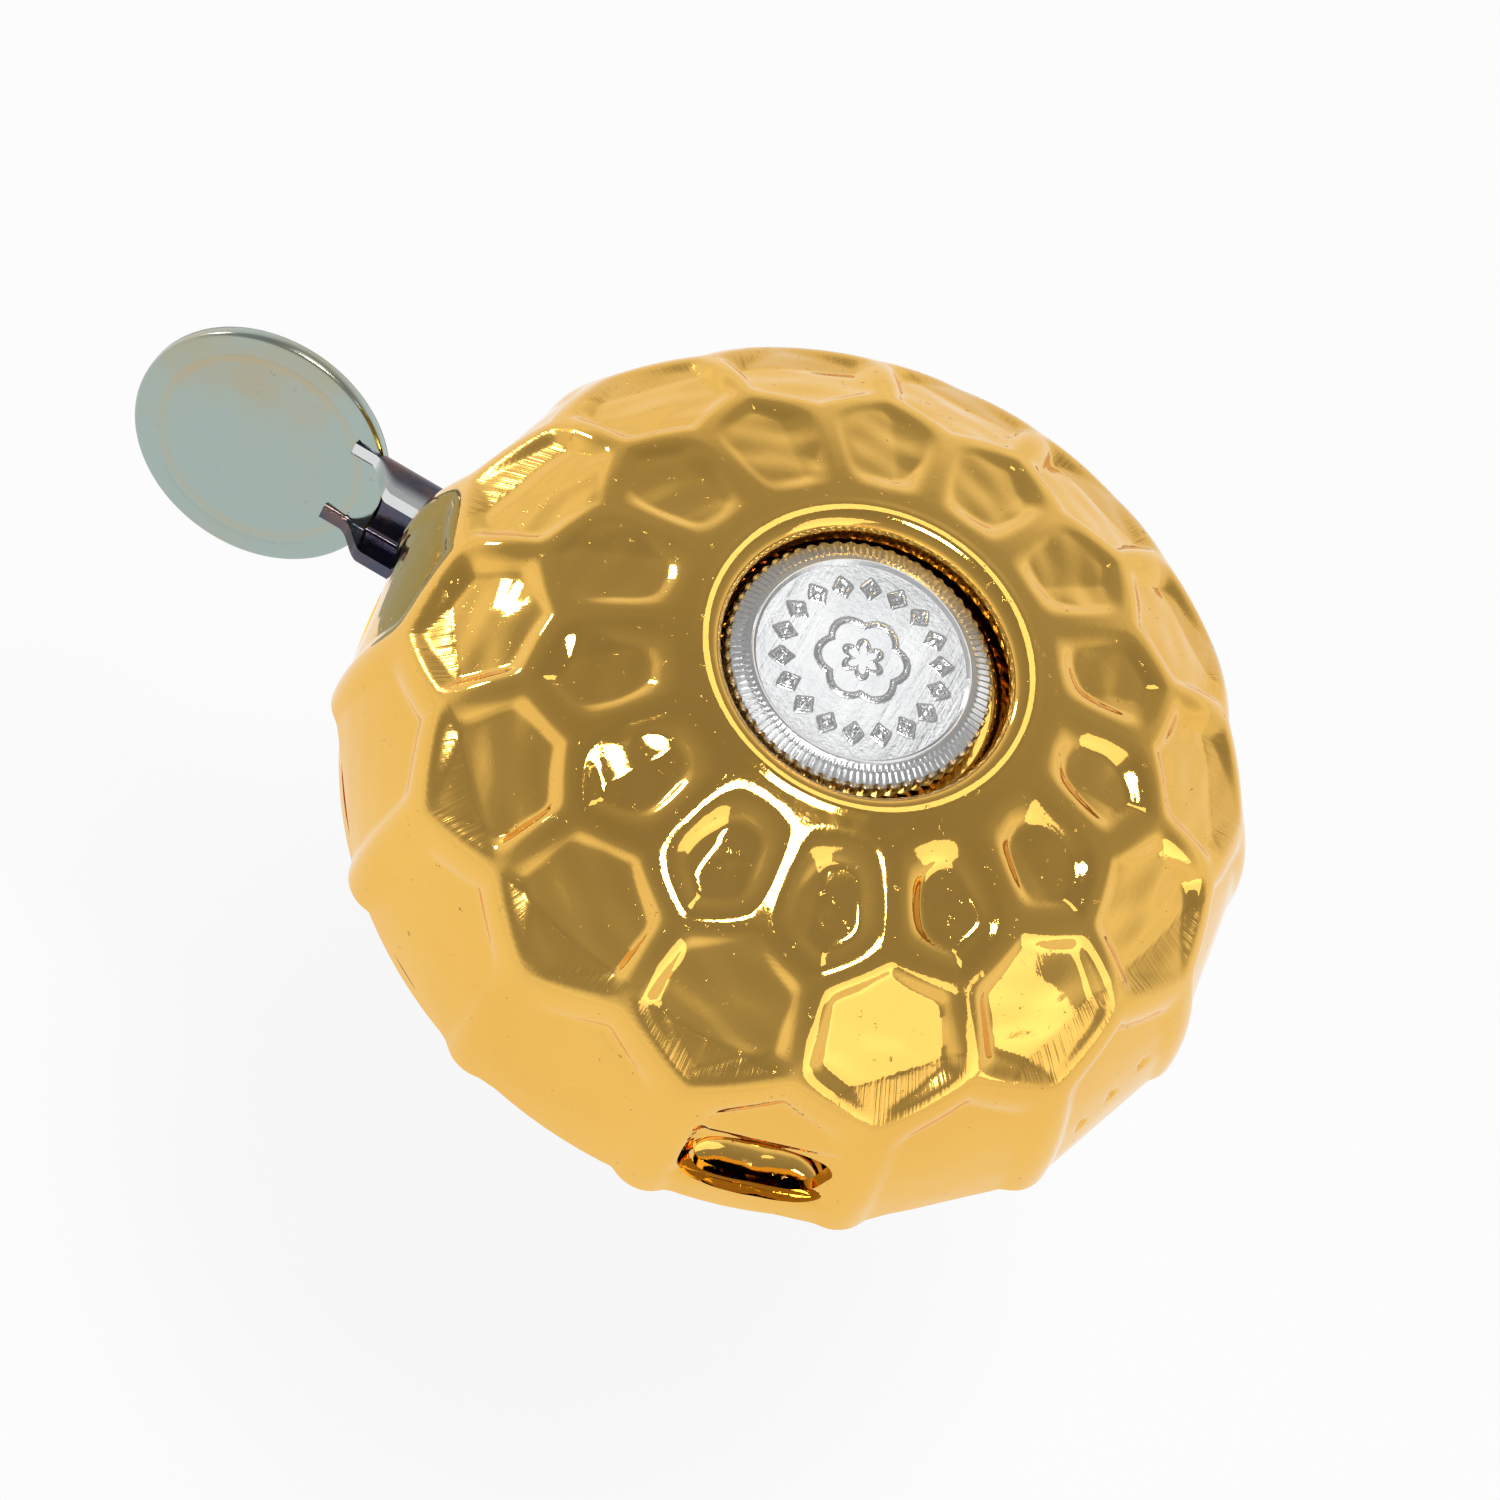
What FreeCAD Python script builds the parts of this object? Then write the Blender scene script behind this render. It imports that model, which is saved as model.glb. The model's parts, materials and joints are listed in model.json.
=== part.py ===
import FreeCAD, Part

import math
import os

import Sketcher

# Rotary bicycle bell for a handlebar.  The origin is the centre of the clamp's bore.  +Y runs along the
# handlebar, the thumb lever points to -X and is pushed towards +Y, and +Z is the spindle, up through the gong.
# Bell pieces are drawn from the plane of the gong's rim (z = 0) and then lifted by rim_height.

SIZES = [
    # handlebar clamp
    ("bar_radius", 11.1),
    ("pad_thickness", 1.2),
    ("strap_thickness", 1.5),
    ("strap_width", 10.0),
    ("strap_corner", 3.3),
    ("ear_margin", 3.35),
    ("ear_gap", 1.5),
    ("screw_clearance", 0.3),
    ("screw_radius", 1.5),
    ("screw_play", 0.2),
    ("screw_head_radius", 2.75),
    ("screw_head_height", 2.4),
    ("screw_socket_radius", 1.44),
    ("screw_end", 1.0),
    ("hex_nut_radius", 3.18),
    ("hex_nut_height", 2.4),
    ("spring_washer_height", 0.8),
    # gong
    ("rim_height", 29.0),
    ("gong_shift", 0.3),
    ("gong_radius", 29.8),
    ("gong_wall", 1.8),
    ("side_arc", 21.9),
    ("side_turn", 33.0),
    ("shoulder_arc", 11.0),
    ("crown_turn", 60.0),
    ("crown_arc", 45.0),
    ("lip_width", 1.85),
    ("lip_drop", 0.9),
    ("lip_arc", 1.25),
    ("well_gap", 0.65),
    ("well_wall", 1.3),
    ("well_floor", 16.8),
    ("well_floor_thickness", 1.5),
    ("gong_hole_radius", 2.5),
    ("dimple_count", 14),
    ("dimple_arc", 45.0),
    ("dimple_depth", 0.6),
    ("rim_dimple_depth", 0.95),
    ("rim_dimple_height", 3.0),
    ("lower_dimple_turn", 46.0),
    ("upper_dimple_turn", 69.5),
    ("ridge_azimuth", 20.3),
    ("slot_azimuth", 290.5),
    ("slot_width", 9.4),
    ("slot_bottom", 2.7),
    ("slot_height", 4.2),
    ("tang_depth", 4.5),
    ("tang_thickness", 1.2),
    ("tang_root", 0.3),
    ("tang_gap", 0.4),
    ("cut_spare", 1.0),
    # spindle and its nuts and washers
    ("journal_radius", 2.4),
    ("collar_radius", 2.9),
    ("top_thread_radius", 2.0),
    ("low_thread_radius", 2.5),
    ("thread_end", 0.4),
    ("spindle_nut_radius", 4.62),
    ("spindle_nut_height", 2.7),
    ("nut_pocket_play", 0.6),
    ("fibre_washer_radius", 5.0),
    ("fibre_washer_height", 0.8),
    ("lock_washer_radius", 5.5),
    ("lock_washer_height", 0.6),
    ("cap_nut_radius", 8.6),
    ("cap_nut_height", 2.1),
    ("cap_nut_bevel", 1.1),
    ("cap_nut_bevel_drop", 0.6),
    ("cap_nut_roof", 0.6),
    # cup under the gong
    ("cup_depth", 10.5),
    ("cup_wall", 1.0),
    ("flange_reach", 4.2),
    ("cup_corner", 4.0),
    ("cup_rim_gap", 0.3),
    ("flange_inset", 1.2),
    ("flange_height", 0.8),
    ("notch_start", 144.0),
    ("notch_turn", 34.5),
    ("notch_floor", 0.4),
    # lever
    ("sheet", 1.0),
    ("pivot_inset", 7.7),
    ("pivot_y", 4.0),
    ("pivot_radius", 1.8),
    ("pivot_shoulder_radius", 3.2),
    ("boss_radius", 3.0),
    ("lever_standoff", 1.2),
    ("boss_height", 4.7),
    ("tail_width", 5.5),
    ("tail_shift", 0.2),
    ("tail_length", 5.5),
    ("arm_start", 4.5),
    ("pad_clearance", 2.0),
    ("pad_y", 6.4),
    ("pad_lift", 2.3),
    ("pad_tilt", 17.6),
    ("pad_radius", 8.8),
    ("pad_plate", 0.6),
    ("pad_skirt", 0.4),
    ("pad_skirt_wall", 0.8),
    ("pad_dish_depth", 0.35),
    ("pad_dish_radius", 7.4),
    ("pad_fit", 0.1),
    ("arm_height", 7.1),
    ("arm_rise", 1.2),
    ("top_flange", 3.8),
    ("low_flange", 3.2),
    # gears: sector on the lever, idler pinion and gear, rotor pinion
    ("gear_module", 0.5),
    ("addendum_share", 0.75),
    ("dedendum_share", 1.1),
    ("backlash", 0.12),
    ("pressure_angle", 20.0),
    ("sector_teeth", 54),
    ("idler_pinion_teeth", 9),
    ("idler_gear_teeth", 35),
    ("rotor_pinion_teeth", 14),
    ("press_turn", 36.0),
    ("sector_spare_teeth", 1),
    ("gear_thickness", 1.0),
    ("gear_lift", 1.1),
    ("gear_overlap", 0.4),
    ("idler_radius", 1.5),
    ("idler_shoulder_radius", 2.2),
    ("idler_standoff", 0.6),
    # rotor and its strikers
    ("running_play", 0.05),
    ("axial_play", 0.2),
    ("sleeve_radius", 4.0),
    ("spigot_radius", 3.5),
    ("bar_bottom", 2.6),
    ("bar_thickness", 1.2),
    ("bar_half_width", 3.5),
    ("striker_radius", 6.0),
    ("striker_hole_radius", 2.0),
    ("striker_thickness", 2.2),
    ("striker_travel", 0.6),
    ("striker_rivet_radius", 1.3),
    ("striker_head_radius", 2.7),
    # clips, rivet heads, pins
    ("clip_thickness", 0.6),
    ("clip_groove", 0.4),
    ("clip_reach", 1.5),
    ("clip_mouth", 80.0),
    ("pin_end", 0.4),
    ("rivet_head_height", 0.6),
    ("rivet_head_reach", 0.7),
    ("stop_radius", 0.9),
    ("stop_angle", 229.2),
    ("stop_offset", 4.6),
    # return spring
    ("coil_play", 0.35),
    ("wire_radius", 0.35),
    ("coil_turns", 4),
    ("coil_pitch", 0.75),
    ("coil_gap", 0.15),
    ("spring_leg", 6.0),
    ("post_radius", 0.75),
    ("post_offset", 7.0),
    ("touch_gap", 0.05),
]

doc = FreeCAD.newDocument("bicycle_bell")
sheet = doc.addObject("Spreadsheet::Sheet", "sizes")
for row, (alias, amount) in enumerate(SIZES, start=1):
    sheet.set(f"A{row}", alias)
    sheet.set(f"B{row}", str(amount))
    sheet.setAlias(f"B{row}", alias)
doc.recompute()

# Heights from the rim plane, and other lengths that several pieces share, as expressions on the sheet.
CUP_FLOOR = "(-sizes.cup_depth + sizes.cup_wall)"
SECTOR_BOTTOM = f"({CUP_FLOOR} + sizes.lever_standoff)"
SECTOR_TOP = f"({SECTOR_BOTTOM} + sizes.sheet)"
GEAR_BOTTOM = f"({SECTOR_TOP} + sizes.gear_lift)"
GEAR_TOP = f"({GEAR_BOTTOM} + sizes.gear_thickness)"
ROTOR_BOTTOM = f"({GEAR_BOTTOM} - sizes.gear_overlap)"
ROTOR_TEETH_TOP = f"({GEAR_TOP} + sizes.gear_overlap)"
BAR_TOP = "(sizes.bar_bottom + sizes.bar_thickness)"
ROTOR_CLIP_BOTTOM = f"({BAR_TOP} + sizes.axial_play)"
STRIKER_BOTTOM = f"({BAR_TOP} + sizes.axial_play)"
STRIKER_TOP = f"({STRIKER_BOTTOM} + sizes.striker_thickness)"
GONG_SEAT = "(sizes.well_floor - sizes.well_floor_thickness)"
SPINDLE_SHOULDER = f"({GONG_SEAT} - sizes.fibre_washer_height)"
CAP_BOTTOM = "(sizes.well_floor + sizes.lock_washer_height)"
CAP_TOP = f"({CAP_BOTTOM} + sizes.cap_nut_height)"
THREAD_TOP = f"({CAP_TOP} - sizes.cap_nut_roof)"
PLATE_TOP = "(sizes.rim_height - sizes.cup_depth)"
PLATE_BOTTOM = f"({PLATE_TOP} - sizes.strap_thickness)"
NUT_BOTTOM = f"({PLATE_BOTTOM} - sizes.spindle_nut_height)"
BAND_INNER = "(sizes.bar_radius + sizes.pad_thickness)"
BAND_OUTER = f"({BAND_INNER} + sizes.strap_thickness)"
BOSS_TOP = f"({SECTOR_BOTTOM} + sizes.boss_height)"
WELL_RADIUS = "(sizes.cap_nut_radius + sizes.well_gap)"
LIP_RADIUS = f"({WELL_RADIUS} + sizes.lip_width)"
TANG_REACH = "(sizes.gong_radius - sizes.tang_depth)"
STRIKER_OFFSET = f"({TANG_REACH} - sizes.tang_gap - sizes.striker_travel - sizes.striker_radius)"
FLANGE_RADIUS = "(sizes.gong_radius - sizes.flange_inset)"
CUP_RADIUS = f"({FLANGE_RADIUS} - sizes.flange_reach)"
PIVOT_X = f"(sizes.pivot_inset - {CUP_RADIUS})"
PAD_X = "(-sizes.gong_radius - sizes.pad_clearance - sizes.pad_radius)"
PAD_Z = f"({SECTOR_BOTTOM} + sizes.pad_lift)"
COIL_RADIUS = "(sizes.boss_radius + sizes.coil_play + sizes.wire_radius)"
SCREW_OFFSET = f"({BAND_OUTER} + sizes.screw_clearance + sizes.screw_head_radius)"
EAR_REACH = f"({SCREW_OFFSET} + sizes.ear_margin)"


def value(expression):
    """The number that an expression on the sheet gives."""
    return float(sheet.evalExpression(expression))


def bind(piece, **expressions):
    """Binds properties of a piece to expressions."""
    for name, expression in expressions.items():
        piece.setExpression(name, expression)
    return piece


def place(piece, x="0", y="0", z="0"):
    """Binds the place of a piece to expressions."""
    for axis, expression in (("x", x), ("y", y), ("z", z)):
        piece.setExpression(f".Placement.Base.{axis}", expression)
    return piece


def cylinder(radius, bottom, top, x="0", y="0"):
    """An upright cylinder between two heights."""
    made = doc.addObject("Part::Cylinder", "round")
    bind(made, Radius=radius, Height=f"({top}) - ({bottom})")
    return place(made, x, y, bottom)


def hexagon(corner_radius, bottom, top, x="0", y="0"):
    """An upright hexagonal prism between two heights, with flats towards +X and -X."""
    made = doc.addObject("Part::Prism", "hexagon")
    made.Polygon = 6
    made.Placement.Rotation = FreeCAD.Rotation(FreeCAD.Vector(0, 0, 1), 30)
    bind(made, Circumradius=corner_radius, Height=f"({top}) - ({bottom})")
    return place(made, x, y, bottom)


def box(low, high):
    """A box from its low corner to its high corner."""
    made = doc.addObject("Part::Box", "block")
    lengths = [f"({upper}) - ({lower})" for lower, upper in zip(low, high)]
    bind(made, Length=lengths[0], Width=lengths[1], Height=lengths[2])
    return place(made, *low)


def joined(*pieces):
    """One solid from several that overlap."""
    made = doc.addObject("Part::MultiFuse", "joined")
    made.Shapes = list(pieces)
    made.Refine = True
    return made


def group(*pieces):
    """Like fasteners that share one node, as separate solids."""
    made = doc.addObject("Part::Compound", "set")
    made.Links = list(pieces)
    return made


def swung(piece, azimuth):
    """A piece turned about the upright axis."""
    made = group(piece)
    made.Placement.Rotation.Axis = FreeCAD.Vector(0, 0, 1)
    made.setExpression(".Placement.Rotation.Angle", azimuth)
    return made


def cut(piece, *tools):
    """A piece with tools taken out of it."""
    made = doc.addObject("Part::Cut", "cut")
    made.Base = piece
    made.Tool = tools[0] if len(tools) == 1 else joined(*tools)
    return made


def made_shape(shape, name):
    """A piece whose shape is worked out from the sheet's sizes."""
    made = doc.addObject("Part::Feature", name)
    made.Shape = shape
    return made


def arc_between(start, end, radius, side):
    """An arc, under half a circle, with its centre to the left (side 1) or right (side -1) of its way."""
    chord = end - start
    reach = math.sqrt(radius**2 - chord.Length**2 / 4)
    across = FreeCAD.Vector(-chord.y, chord.x, 0).normalize() * side * reach
    centre = (start + end) * 0.5 + across
    turns = [math.atan2(p.y - centre.y, p.x - centre.x) for p in ((start, end) if side > 0 else (end, start))]
    if turns[1] < turns[0]:
        turns[1] += 2 * math.pi
    return Part.ArcOfCircle(Part.Circle(centre, FreeCAD.Vector(0, 0, 1), radius), *turns)


def sketch_of(body, role, corners, lift="0"):
    """A closed outline on an origin plane.

    A corner is (x, y), or (x, y, radius, side) where an arc leads from it to the next corner.
    """
    sketch = body.newObject("Sketcher::SketchObject", body.Name + "_outline")
    planes = [feature for feature in body.Origin.OriginFeatures if feature.Role == role]
    sketch.AttachmentSupport = (planes[0], [""])
    sketch.MapMode = "FlatFace"
    sketch.setExpression(".AttachmentOffset.Base.z", lift)
    points = [FreeCAD.Vector(value(corner[0]), value(corner[1]), 0) for corner in corners]
    first_ends = []
    for corner, start, end in zip(corners, points, points[1:] + points[:1]):
        if len(corner) == 2:
            sketch.addGeometry(Part.LineSegment(start, end))
            first_ends.append(1)
        else:
            sketch.addGeometry(arc_between(start, end, value(corner[2]), corner[3]))
            first_ends.append(1 if corner[3] > 0 else 2)
    for edge, first in enumerate(first_ends):
        after = (edge + 1) % len(corners)
        sketch.addConstraint(Sketcher.Constraint("Coincident", edge, 3 - first, after, first_ends[after]))
    for edge, corner in enumerate(corners):
        bound = [
            (Sketcher.Constraint("DistanceX", -1, 1, edge, first_ends[edge], points[edge].x), corner[0]),
            (Sketcher.Constraint("DistanceY", -1, 1, edge, first_ends[edge], points[edge].y), corner[1]),
        ]
        if len(corner) == 4:
            bound.append((Sketcher.Constraint("Radius", edge, value(corner[2])), corner[2]))
        for constraint, expression in bound:
            index = sketch.addConstraint(constraint)
            sketch.setExpression(f"Constraints[{index}]", expression)
    return sketch


def turned(name, corners):
    """A body of revolution about the upright axis, from an outline in radius and height."""
    body = doc.addObject("PartDesign::Body", name)
    sketch = sketch_of(body, "XZ_Plane", corners)
    turn = body.newObject("PartDesign::Revolution", name + "_turn")
    turn.Profile = sketch
    turn.ReferenceAxis = (sketch, ["V_Axis"])
    turn.Angle = 360
    return body


def strip(name, corners):
    """A body of the clamp strap's width along the bar, from an outline in X and Z."""
    body = doc.addObject("PartDesign::Body", name)
    sketch = sketch_of(body, "XZ_Plane", corners, "-sizes.strap_width / 2")
    pad = body.newObject("PartDesign::Pad", name + "_pad")
    pad.Profile = sketch
    pad.setExpression("Length", "sizes.strap_width")
    return body


nodes = {}


def node(piece, label):
    """Names a finished sub-part."""
    piece.Label = label
    nodes[label] = piece
    return piece


def bell_node(piece, label, x="0"):
    """Names a finished sub-part of the bell, and lifts it from the rim plane to its place over the bar."""
    place(piece, x, "0", "sizes.rim_height")
    return node(piece, label)


# Gong: a pressed dome with a recessed well for the cap nut.  Its side, shoulder and crown are three tangent
# arcs, and the inside is the same arcs less the wall.
SIDE_X = "(sizes.gong_radius - sizes.side_arc)"
STEP = "(sizes.side_arc - sizes.shoulder_arc)"
SHOULDER_X = f"({SIDE_X} + {STEP} * cos(sizes.side_turn))"
SHOULDER_Z = f"({STEP} * sin(sizes.side_turn))"
CROWN_X = f"({SHOULDER_X} + (sizes.shoulder_arc - sizes.crown_arc) * cos(sizes.crown_turn))"
CROWN_Z = f"({SHOULDER_Z} + (sizes.shoulder_arc - sizes.crown_arc) * sin(sizes.crown_turn))"


def on_arc(centre_x, centre_z, radius, turn):
    """A point of an arc of the gong's outline, at a turn up from level."""
    return f"{centre_x} + {radius} * cos({turn})", f"{centre_z} + {radius} * sin({turn})"


def crown_height(radius, inset):
    """The height of the crown, less an inset, at a radius."""
    return f"({CROWN_Z} + sqrt((sizes.crown_arc - {inset}) ^ 2 - ({radius} - {CROWN_X}) ^ 2))"


def gong_side(inset):
    """Corners and arcs up one skin of the gong, from rim to crown, at an inset from the outside."""
    side = f"(sizes.side_arc - {inset})"
    shoulder = f"(sizes.shoulder_arc - {inset})"
    return [
        on_arc(SIDE_X, "0", side, "0") + (side, 1),
        on_arc(SIDE_X, "0", side, "sizes.side_turn") + (shoulder, 1),
        on_arc(SHOULDER_X, SHOULDER_Z, shoulder, "sizes.crown_turn") + (f"(sizes.crown_arc - {inset})", 1),
    ]


def backwards(corners, last):
    """An outline's corners from its last point down to its first, with each arc's side turned over."""
    points = [corner[:2] for corner in corners] + [last]
    arcs = [(corner[2], -corner[3]) for corner in corners]
    return [points[k + 1] + arcs[k] for k in reversed(range(len(arcs)))] + [points[0]]


WELL_OUTER = f"({WELL_RADIUS} + sizes.well_wall)"
INNER_TOP = (WELL_OUTER, crown_height(WELL_OUTER, "sizes.gong_wall"))
LIP_TOP = crown_height(LIP_RADIUS, "0")
gong_blank = turned(
    "gong_blank",
    [("sizes.gong_hole_radius", GONG_SEAT), (WELL_OUTER, GONG_SEAT)]
    + backwards(gong_side("sizes.gong_wall"), INNER_TOP)
    + gong_side("0")
    + [
        (LIP_RADIUS, LIP_TOP, "sizes.lip_arc", 1),
        (WELL_RADIUS, f"{LIP_TOP} - sizes.lip_drop"),
        (WELL_RADIUS, "sizes.well_floor"),
        ("sizes.gong_hole_radius", "sizes.well_floor"),
    ],
)


def dimple(azimuth, radius, height, turn, depth):
    """A large ball that takes a shallow hollow out of the gong.

    The ball's centre stands off the gong's surface point along the outward direction, turned up from level.
    """
    ball = doc.addObject("Part::Sphere", "ball")
    bind(ball, Radius="sizes.dimple_arc")
    reach = f"({radius} + (sizes.dimple_arc - {depth}) * cos({turn}))"
    return place(
        ball,
        f"{reach} * cos({azimuth})",
        f"{reach} * sin({azimuth})",
        f"{height} + (sizes.dimple_arc - {depth}) * sin({turn})",
    )


hollows = []
for k in range(int(value("sizes.dimple_count"))):
    on_ridge = f"(sizes.ridge_azimuth + {k} * 360 / sizes.dimple_count)"
    between = f"(sizes.ridge_azimuth + {k + 0.5} * 360 / sizes.dimple_count)"
    rim_turn = "asin(sizes.rim_dimple_height / sizes.side_arc)"
    rim_point = on_arc(SIDE_X, "0", "sizes.side_arc", rim_turn)
    hollows.append(dimple(between, *rim_point, rim_turn, "sizes.rim_dimple_depth"))
    low_point = on_arc(SHOULDER_X, SHOULDER_Z, "sizes.shoulder_arc", "sizes.lower_dimple_turn")
    hollows.append(dimple(on_ridge, *low_point, "sizes.lower_dimple_turn", "sizes.dimple_depth"))
    high_point = on_arc(CROWN_X, CROWN_Z, "sizes.crown_arc", "sizes.upper_dimple_turn")
    hollows.append(dimple(between, *high_point, "sizes.upper_dimple_turn", "sizes.dimple_depth / 2"))

# A slot in the side, from which a tang is pushed inwards for the strikers to hit.
slot = box(
    (TANG_REACH, "-sizes.slot_width / 2", "sizes.slot_bottom"),
    ("sizes.gong_radius + sizes.cut_spare", "sizes.slot_width / 2", "sizes.slot_bottom + sizes.slot_height"),
)
tang = box(
    (TANG_REACH, "-sizes.slot_width / 2", "sizes.slot_bottom - sizes.tang_thickness"),
    ("sizes.gong_radius - sizes.gong_wall + sizes.tang_root", "sizes.slot_width / 2", "sizes.slot_bottom"),
)
tang_lip = box(
    (TANG_REACH, "-sizes.slot_width / 2", "sizes.slot_bottom"),
    (
        f"{TANG_REACH} + sizes.tang_thickness",
        "sizes.slot_width / 2",
        "sizes.slot_bottom + sizes.slot_height / 2",
    ),
)
slot = swung(slot, "sizes.slot_azimuth")
tang = swung(joined(tang, tang_lip), "sizes.slot_azimuth")
gong = cut(gong_blank, slot)
for ball in hollows:
    gong = cut(gong, ball)
gong = joined(gong, tang)
bell_node(gong, "gong_dome", "sizes.gong_shift")

# Spindle: a turned post, shouldered for the cup, the rotor, the clip and the gong, and threaded at both ends.
CLIP_GROOVE = "(sizes.journal_radius - sizes.clip_groove)"
CLIP_TOP = f"({ROTOR_CLIP_BOTTOM} + sizes.clip_thickness)"
COLLAR_TOP = f"({ROTOR_BOTTOM} - sizes.axial_play)"
SPINDLE_END = "(-sizes.cup_depth - sizes.strap_thickness - sizes.spindle_nut_height - sizes.thread_end)"
spindle = turned(
    "spindle_turned",
    [
        ("0", SPINDLE_END),
        ("sizes.low_thread_radius", SPINDLE_END),
        ("sizes.low_thread_radius", CUP_FLOOR),
        ("sizes.collar_radius", CUP_FLOOR),
        ("sizes.collar_radius", COLLAR_TOP),
        ("sizes.journal_radius", COLLAR_TOP),
        ("sizes.journal_radius", ROTOR_CLIP_BOTTOM),
        (CLIP_GROOVE, ROTOR_CLIP_BOTTOM),
        (CLIP_GROOVE, CLIP_TOP),
        ("sizes.journal_radius", CLIP_TOP),
        ("sizes.journal_radius", SPINDLE_SHOULDER),
        ("sizes.top_thread_radius", SPINDLE_SHOULDER),
        ("sizes.top_thread_radius", THREAD_TOP),
        ("0", THREAD_TOP),
    ],
)
bell_node(spindle, "spindle")


def washer(outer, inner, bottom, top, x="0", y="0"):
    """A flat ring between two heights."""
    return cut(cylinder(outer, bottom, top, x, y), cylinder(inner, bottom, top, x, y))


THREAD = "sizes.top_thread_radius"
bell_node(washer("sizes.fibre_washer_radius", THREAD, SPINDLE_SHOULDER, GONG_SEAT), "fibre_washer")
bell_node(washer("sizes.lock_washer_radius", THREAD, "sizes.well_floor", CAP_BOTTOM), "lock_washer")
cap_blank = turned(
    "cap_nut_turned",
    [
        ("sizes.top_thread_radius", CAP_BOTTOM),
        ("sizes.cap_nut_radius", CAP_BOTTOM),
        ("sizes.cap_nut_radius", f"{CAP_TOP} - sizes.cap_nut_bevel_drop"),
        ("sizes.cap_nut_radius - sizes.cap_nut_bevel", CAP_TOP),
        ("0", CAP_TOP),
        ("0", THREAD_TOP),
        ("sizes.top_thread_radius", THREAD_TOP),
    ],
)
bell_node(cap_blank, "cap_nut")
node(
    cut(
        hexagon("sizes.spindle_nut_radius", NUT_BOTTOM, PLATE_BOTTOM),
        cylinder("sizes.low_thread_radius", NUT_BOTTOM, PLATE_BOTTOM),
    ),
    "spindle_nut",
)

# Cup: pressed sheet with a rounded corner and a turned-out rim, notched where the lever swings, and pierced
# for the spindle and the riveted pins.
CUP_BOTTOM = "(-sizes.cup_depth)"
CUP_TOP = "(-sizes.cup_rim_gap)"
CUP_INNER = f"({CUP_RADIUS} - sizes.cup_wall)"
IDLER_REACH = "(sizes.gear_module * (sizes.sector_teeth + sizes.idler_pinion_teeth) / 2)"
IDLER_THROW = "(sizes.gear_module * (sizes.idler_gear_teeth + sizes.rotor_pinion_teeth) / 2)"
PIVOT_REACH = f"sqrt({PIVOT_X} ^ 2 + sizes.pivot_y ^ 2)"
# The idler stands where both gear pairs mesh: the angle at the spindle of the triangle spindle, pivot, idler.
BEND_SIDES = f"({PIVOT_REACH} ^ 2 + {IDLER_THROW} ^ 2 - {IDLER_REACH} ^ 2)"
IDLER_BEND = f"acos({BEND_SIDES} / (2 * {PIVOT_REACH} * {IDLER_THROW}))"
IDLER_AZIMUTH = f"(180 deg + atan(sizes.pivot_y / {PIVOT_X}) + {IDLER_BEND})"
IDLER_X = f"({IDLER_THROW} * cos({IDLER_AZIMUTH}))"
IDLER_Y = f"({IDLER_THROW} * sin({IDLER_AZIMUTH}))"
POST_X = f"({PIVOT_X} + sizes.post_offset)"
POST_Y = f"(sizes.pivot_y + {COIL_RADIUS} - sizes.wire_radius - sizes.touch_gap - sizes.post_radius)"
STOP_X = f"({PIVOT_X} + sizes.stop_offset * cos(sizes.stop_angle))"
STOP_Y = "(sizes.pivot_y + sizes.stop_offset * sin(sizes.stop_angle))"
notch = cylinder(f"{FLANGE_RADIUS} + sizes.cut_spare", f"{CUP_FLOOR} + sizes.notch_floor", "sizes.cut_spare")
bind(notch, Angle="sizes.notch_turn")
notch = swung(notch, "sizes.notch_start")
cup_blank = turned(
    "cup_pressed",
    [
        ("sizes.low_thread_radius", CUP_BOTTOM),
        (f"{CUP_RADIUS} - sizes.cup_corner", CUP_BOTTOM, "sizes.cup_corner", 1),
        (CUP_RADIUS, f"{CUP_BOTTOM} + sizes.cup_corner"),
        (CUP_RADIUS, f"{CUP_TOP} - sizes.flange_height"),
        (FLANGE_RADIUS, f"{CUP_TOP} - sizes.flange_height"),
        (FLANGE_RADIUS, CUP_TOP),
        (CUP_INNER, CUP_TOP),
        (CUP_INNER, f"{CUP_BOTTOM} + sizes.cup_corner", "sizes.cup_corner - sizes.cup_wall", -1),
        (f"{CUP_RADIUS} - sizes.cup_corner", CUP_FLOOR),
        ("sizes.low_thread_radius", CUP_FLOOR),
    ],
)
pierced = [
    cylinder("sizes.pivot_radius", CUP_BOTTOM, CUP_FLOOR, PIVOT_X, "sizes.pivot_y"),
    cylinder("sizes.idler_radius", CUP_BOTTOM, CUP_FLOOR, IDLER_X, IDLER_Y),
    cylinder("sizes.post_radius", CUP_BOTTOM, CUP_FLOOR, POST_X, POST_Y),
    cylinder("sizes.stop_radius", CUP_BOTTOM, CUP_FLOOR, STOP_X, STOP_Y),
]
bell_node(cut(cup_blank, notch, *pierced), "base_shell")


# Riveted pins: each has a head under the floor, a shoulder on it, and a journal with a groove for its clip.
def rivet_head(radius, x, y):
    """The peened head of a pin, under the cup's floor."""
    bottom = f"({CUP_BOTTOM} - sizes.rivet_head_height)"
    return cylinder(f"{radius} + sizes.rivet_head_reach", bottom, CUP_BOTTOM, x, y)


def clipped_pin(radius, shoulder, shoulder_top, clip_bottom, x, y):
    """A pin riveted to the floor, with a shoulder under the piece it carries and a groove over it."""
    clip_top = f"({clip_bottom} + sizes.clip_thickness)"
    blank = joined(
        rivet_head(radius, x, y),
        cylinder(radius, CUP_BOTTOM, f"{clip_top} + sizes.pin_end", x, y),
        cylinder(shoulder, CUP_FLOOR, shoulder_top, x, y),
    )
    groove = washer(f"{radius} + sizes.cut_spare", f"{radius} - sizes.clip_groove", clip_bottom, clip_top, x, y)
    return cut(blank, groove)


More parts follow.
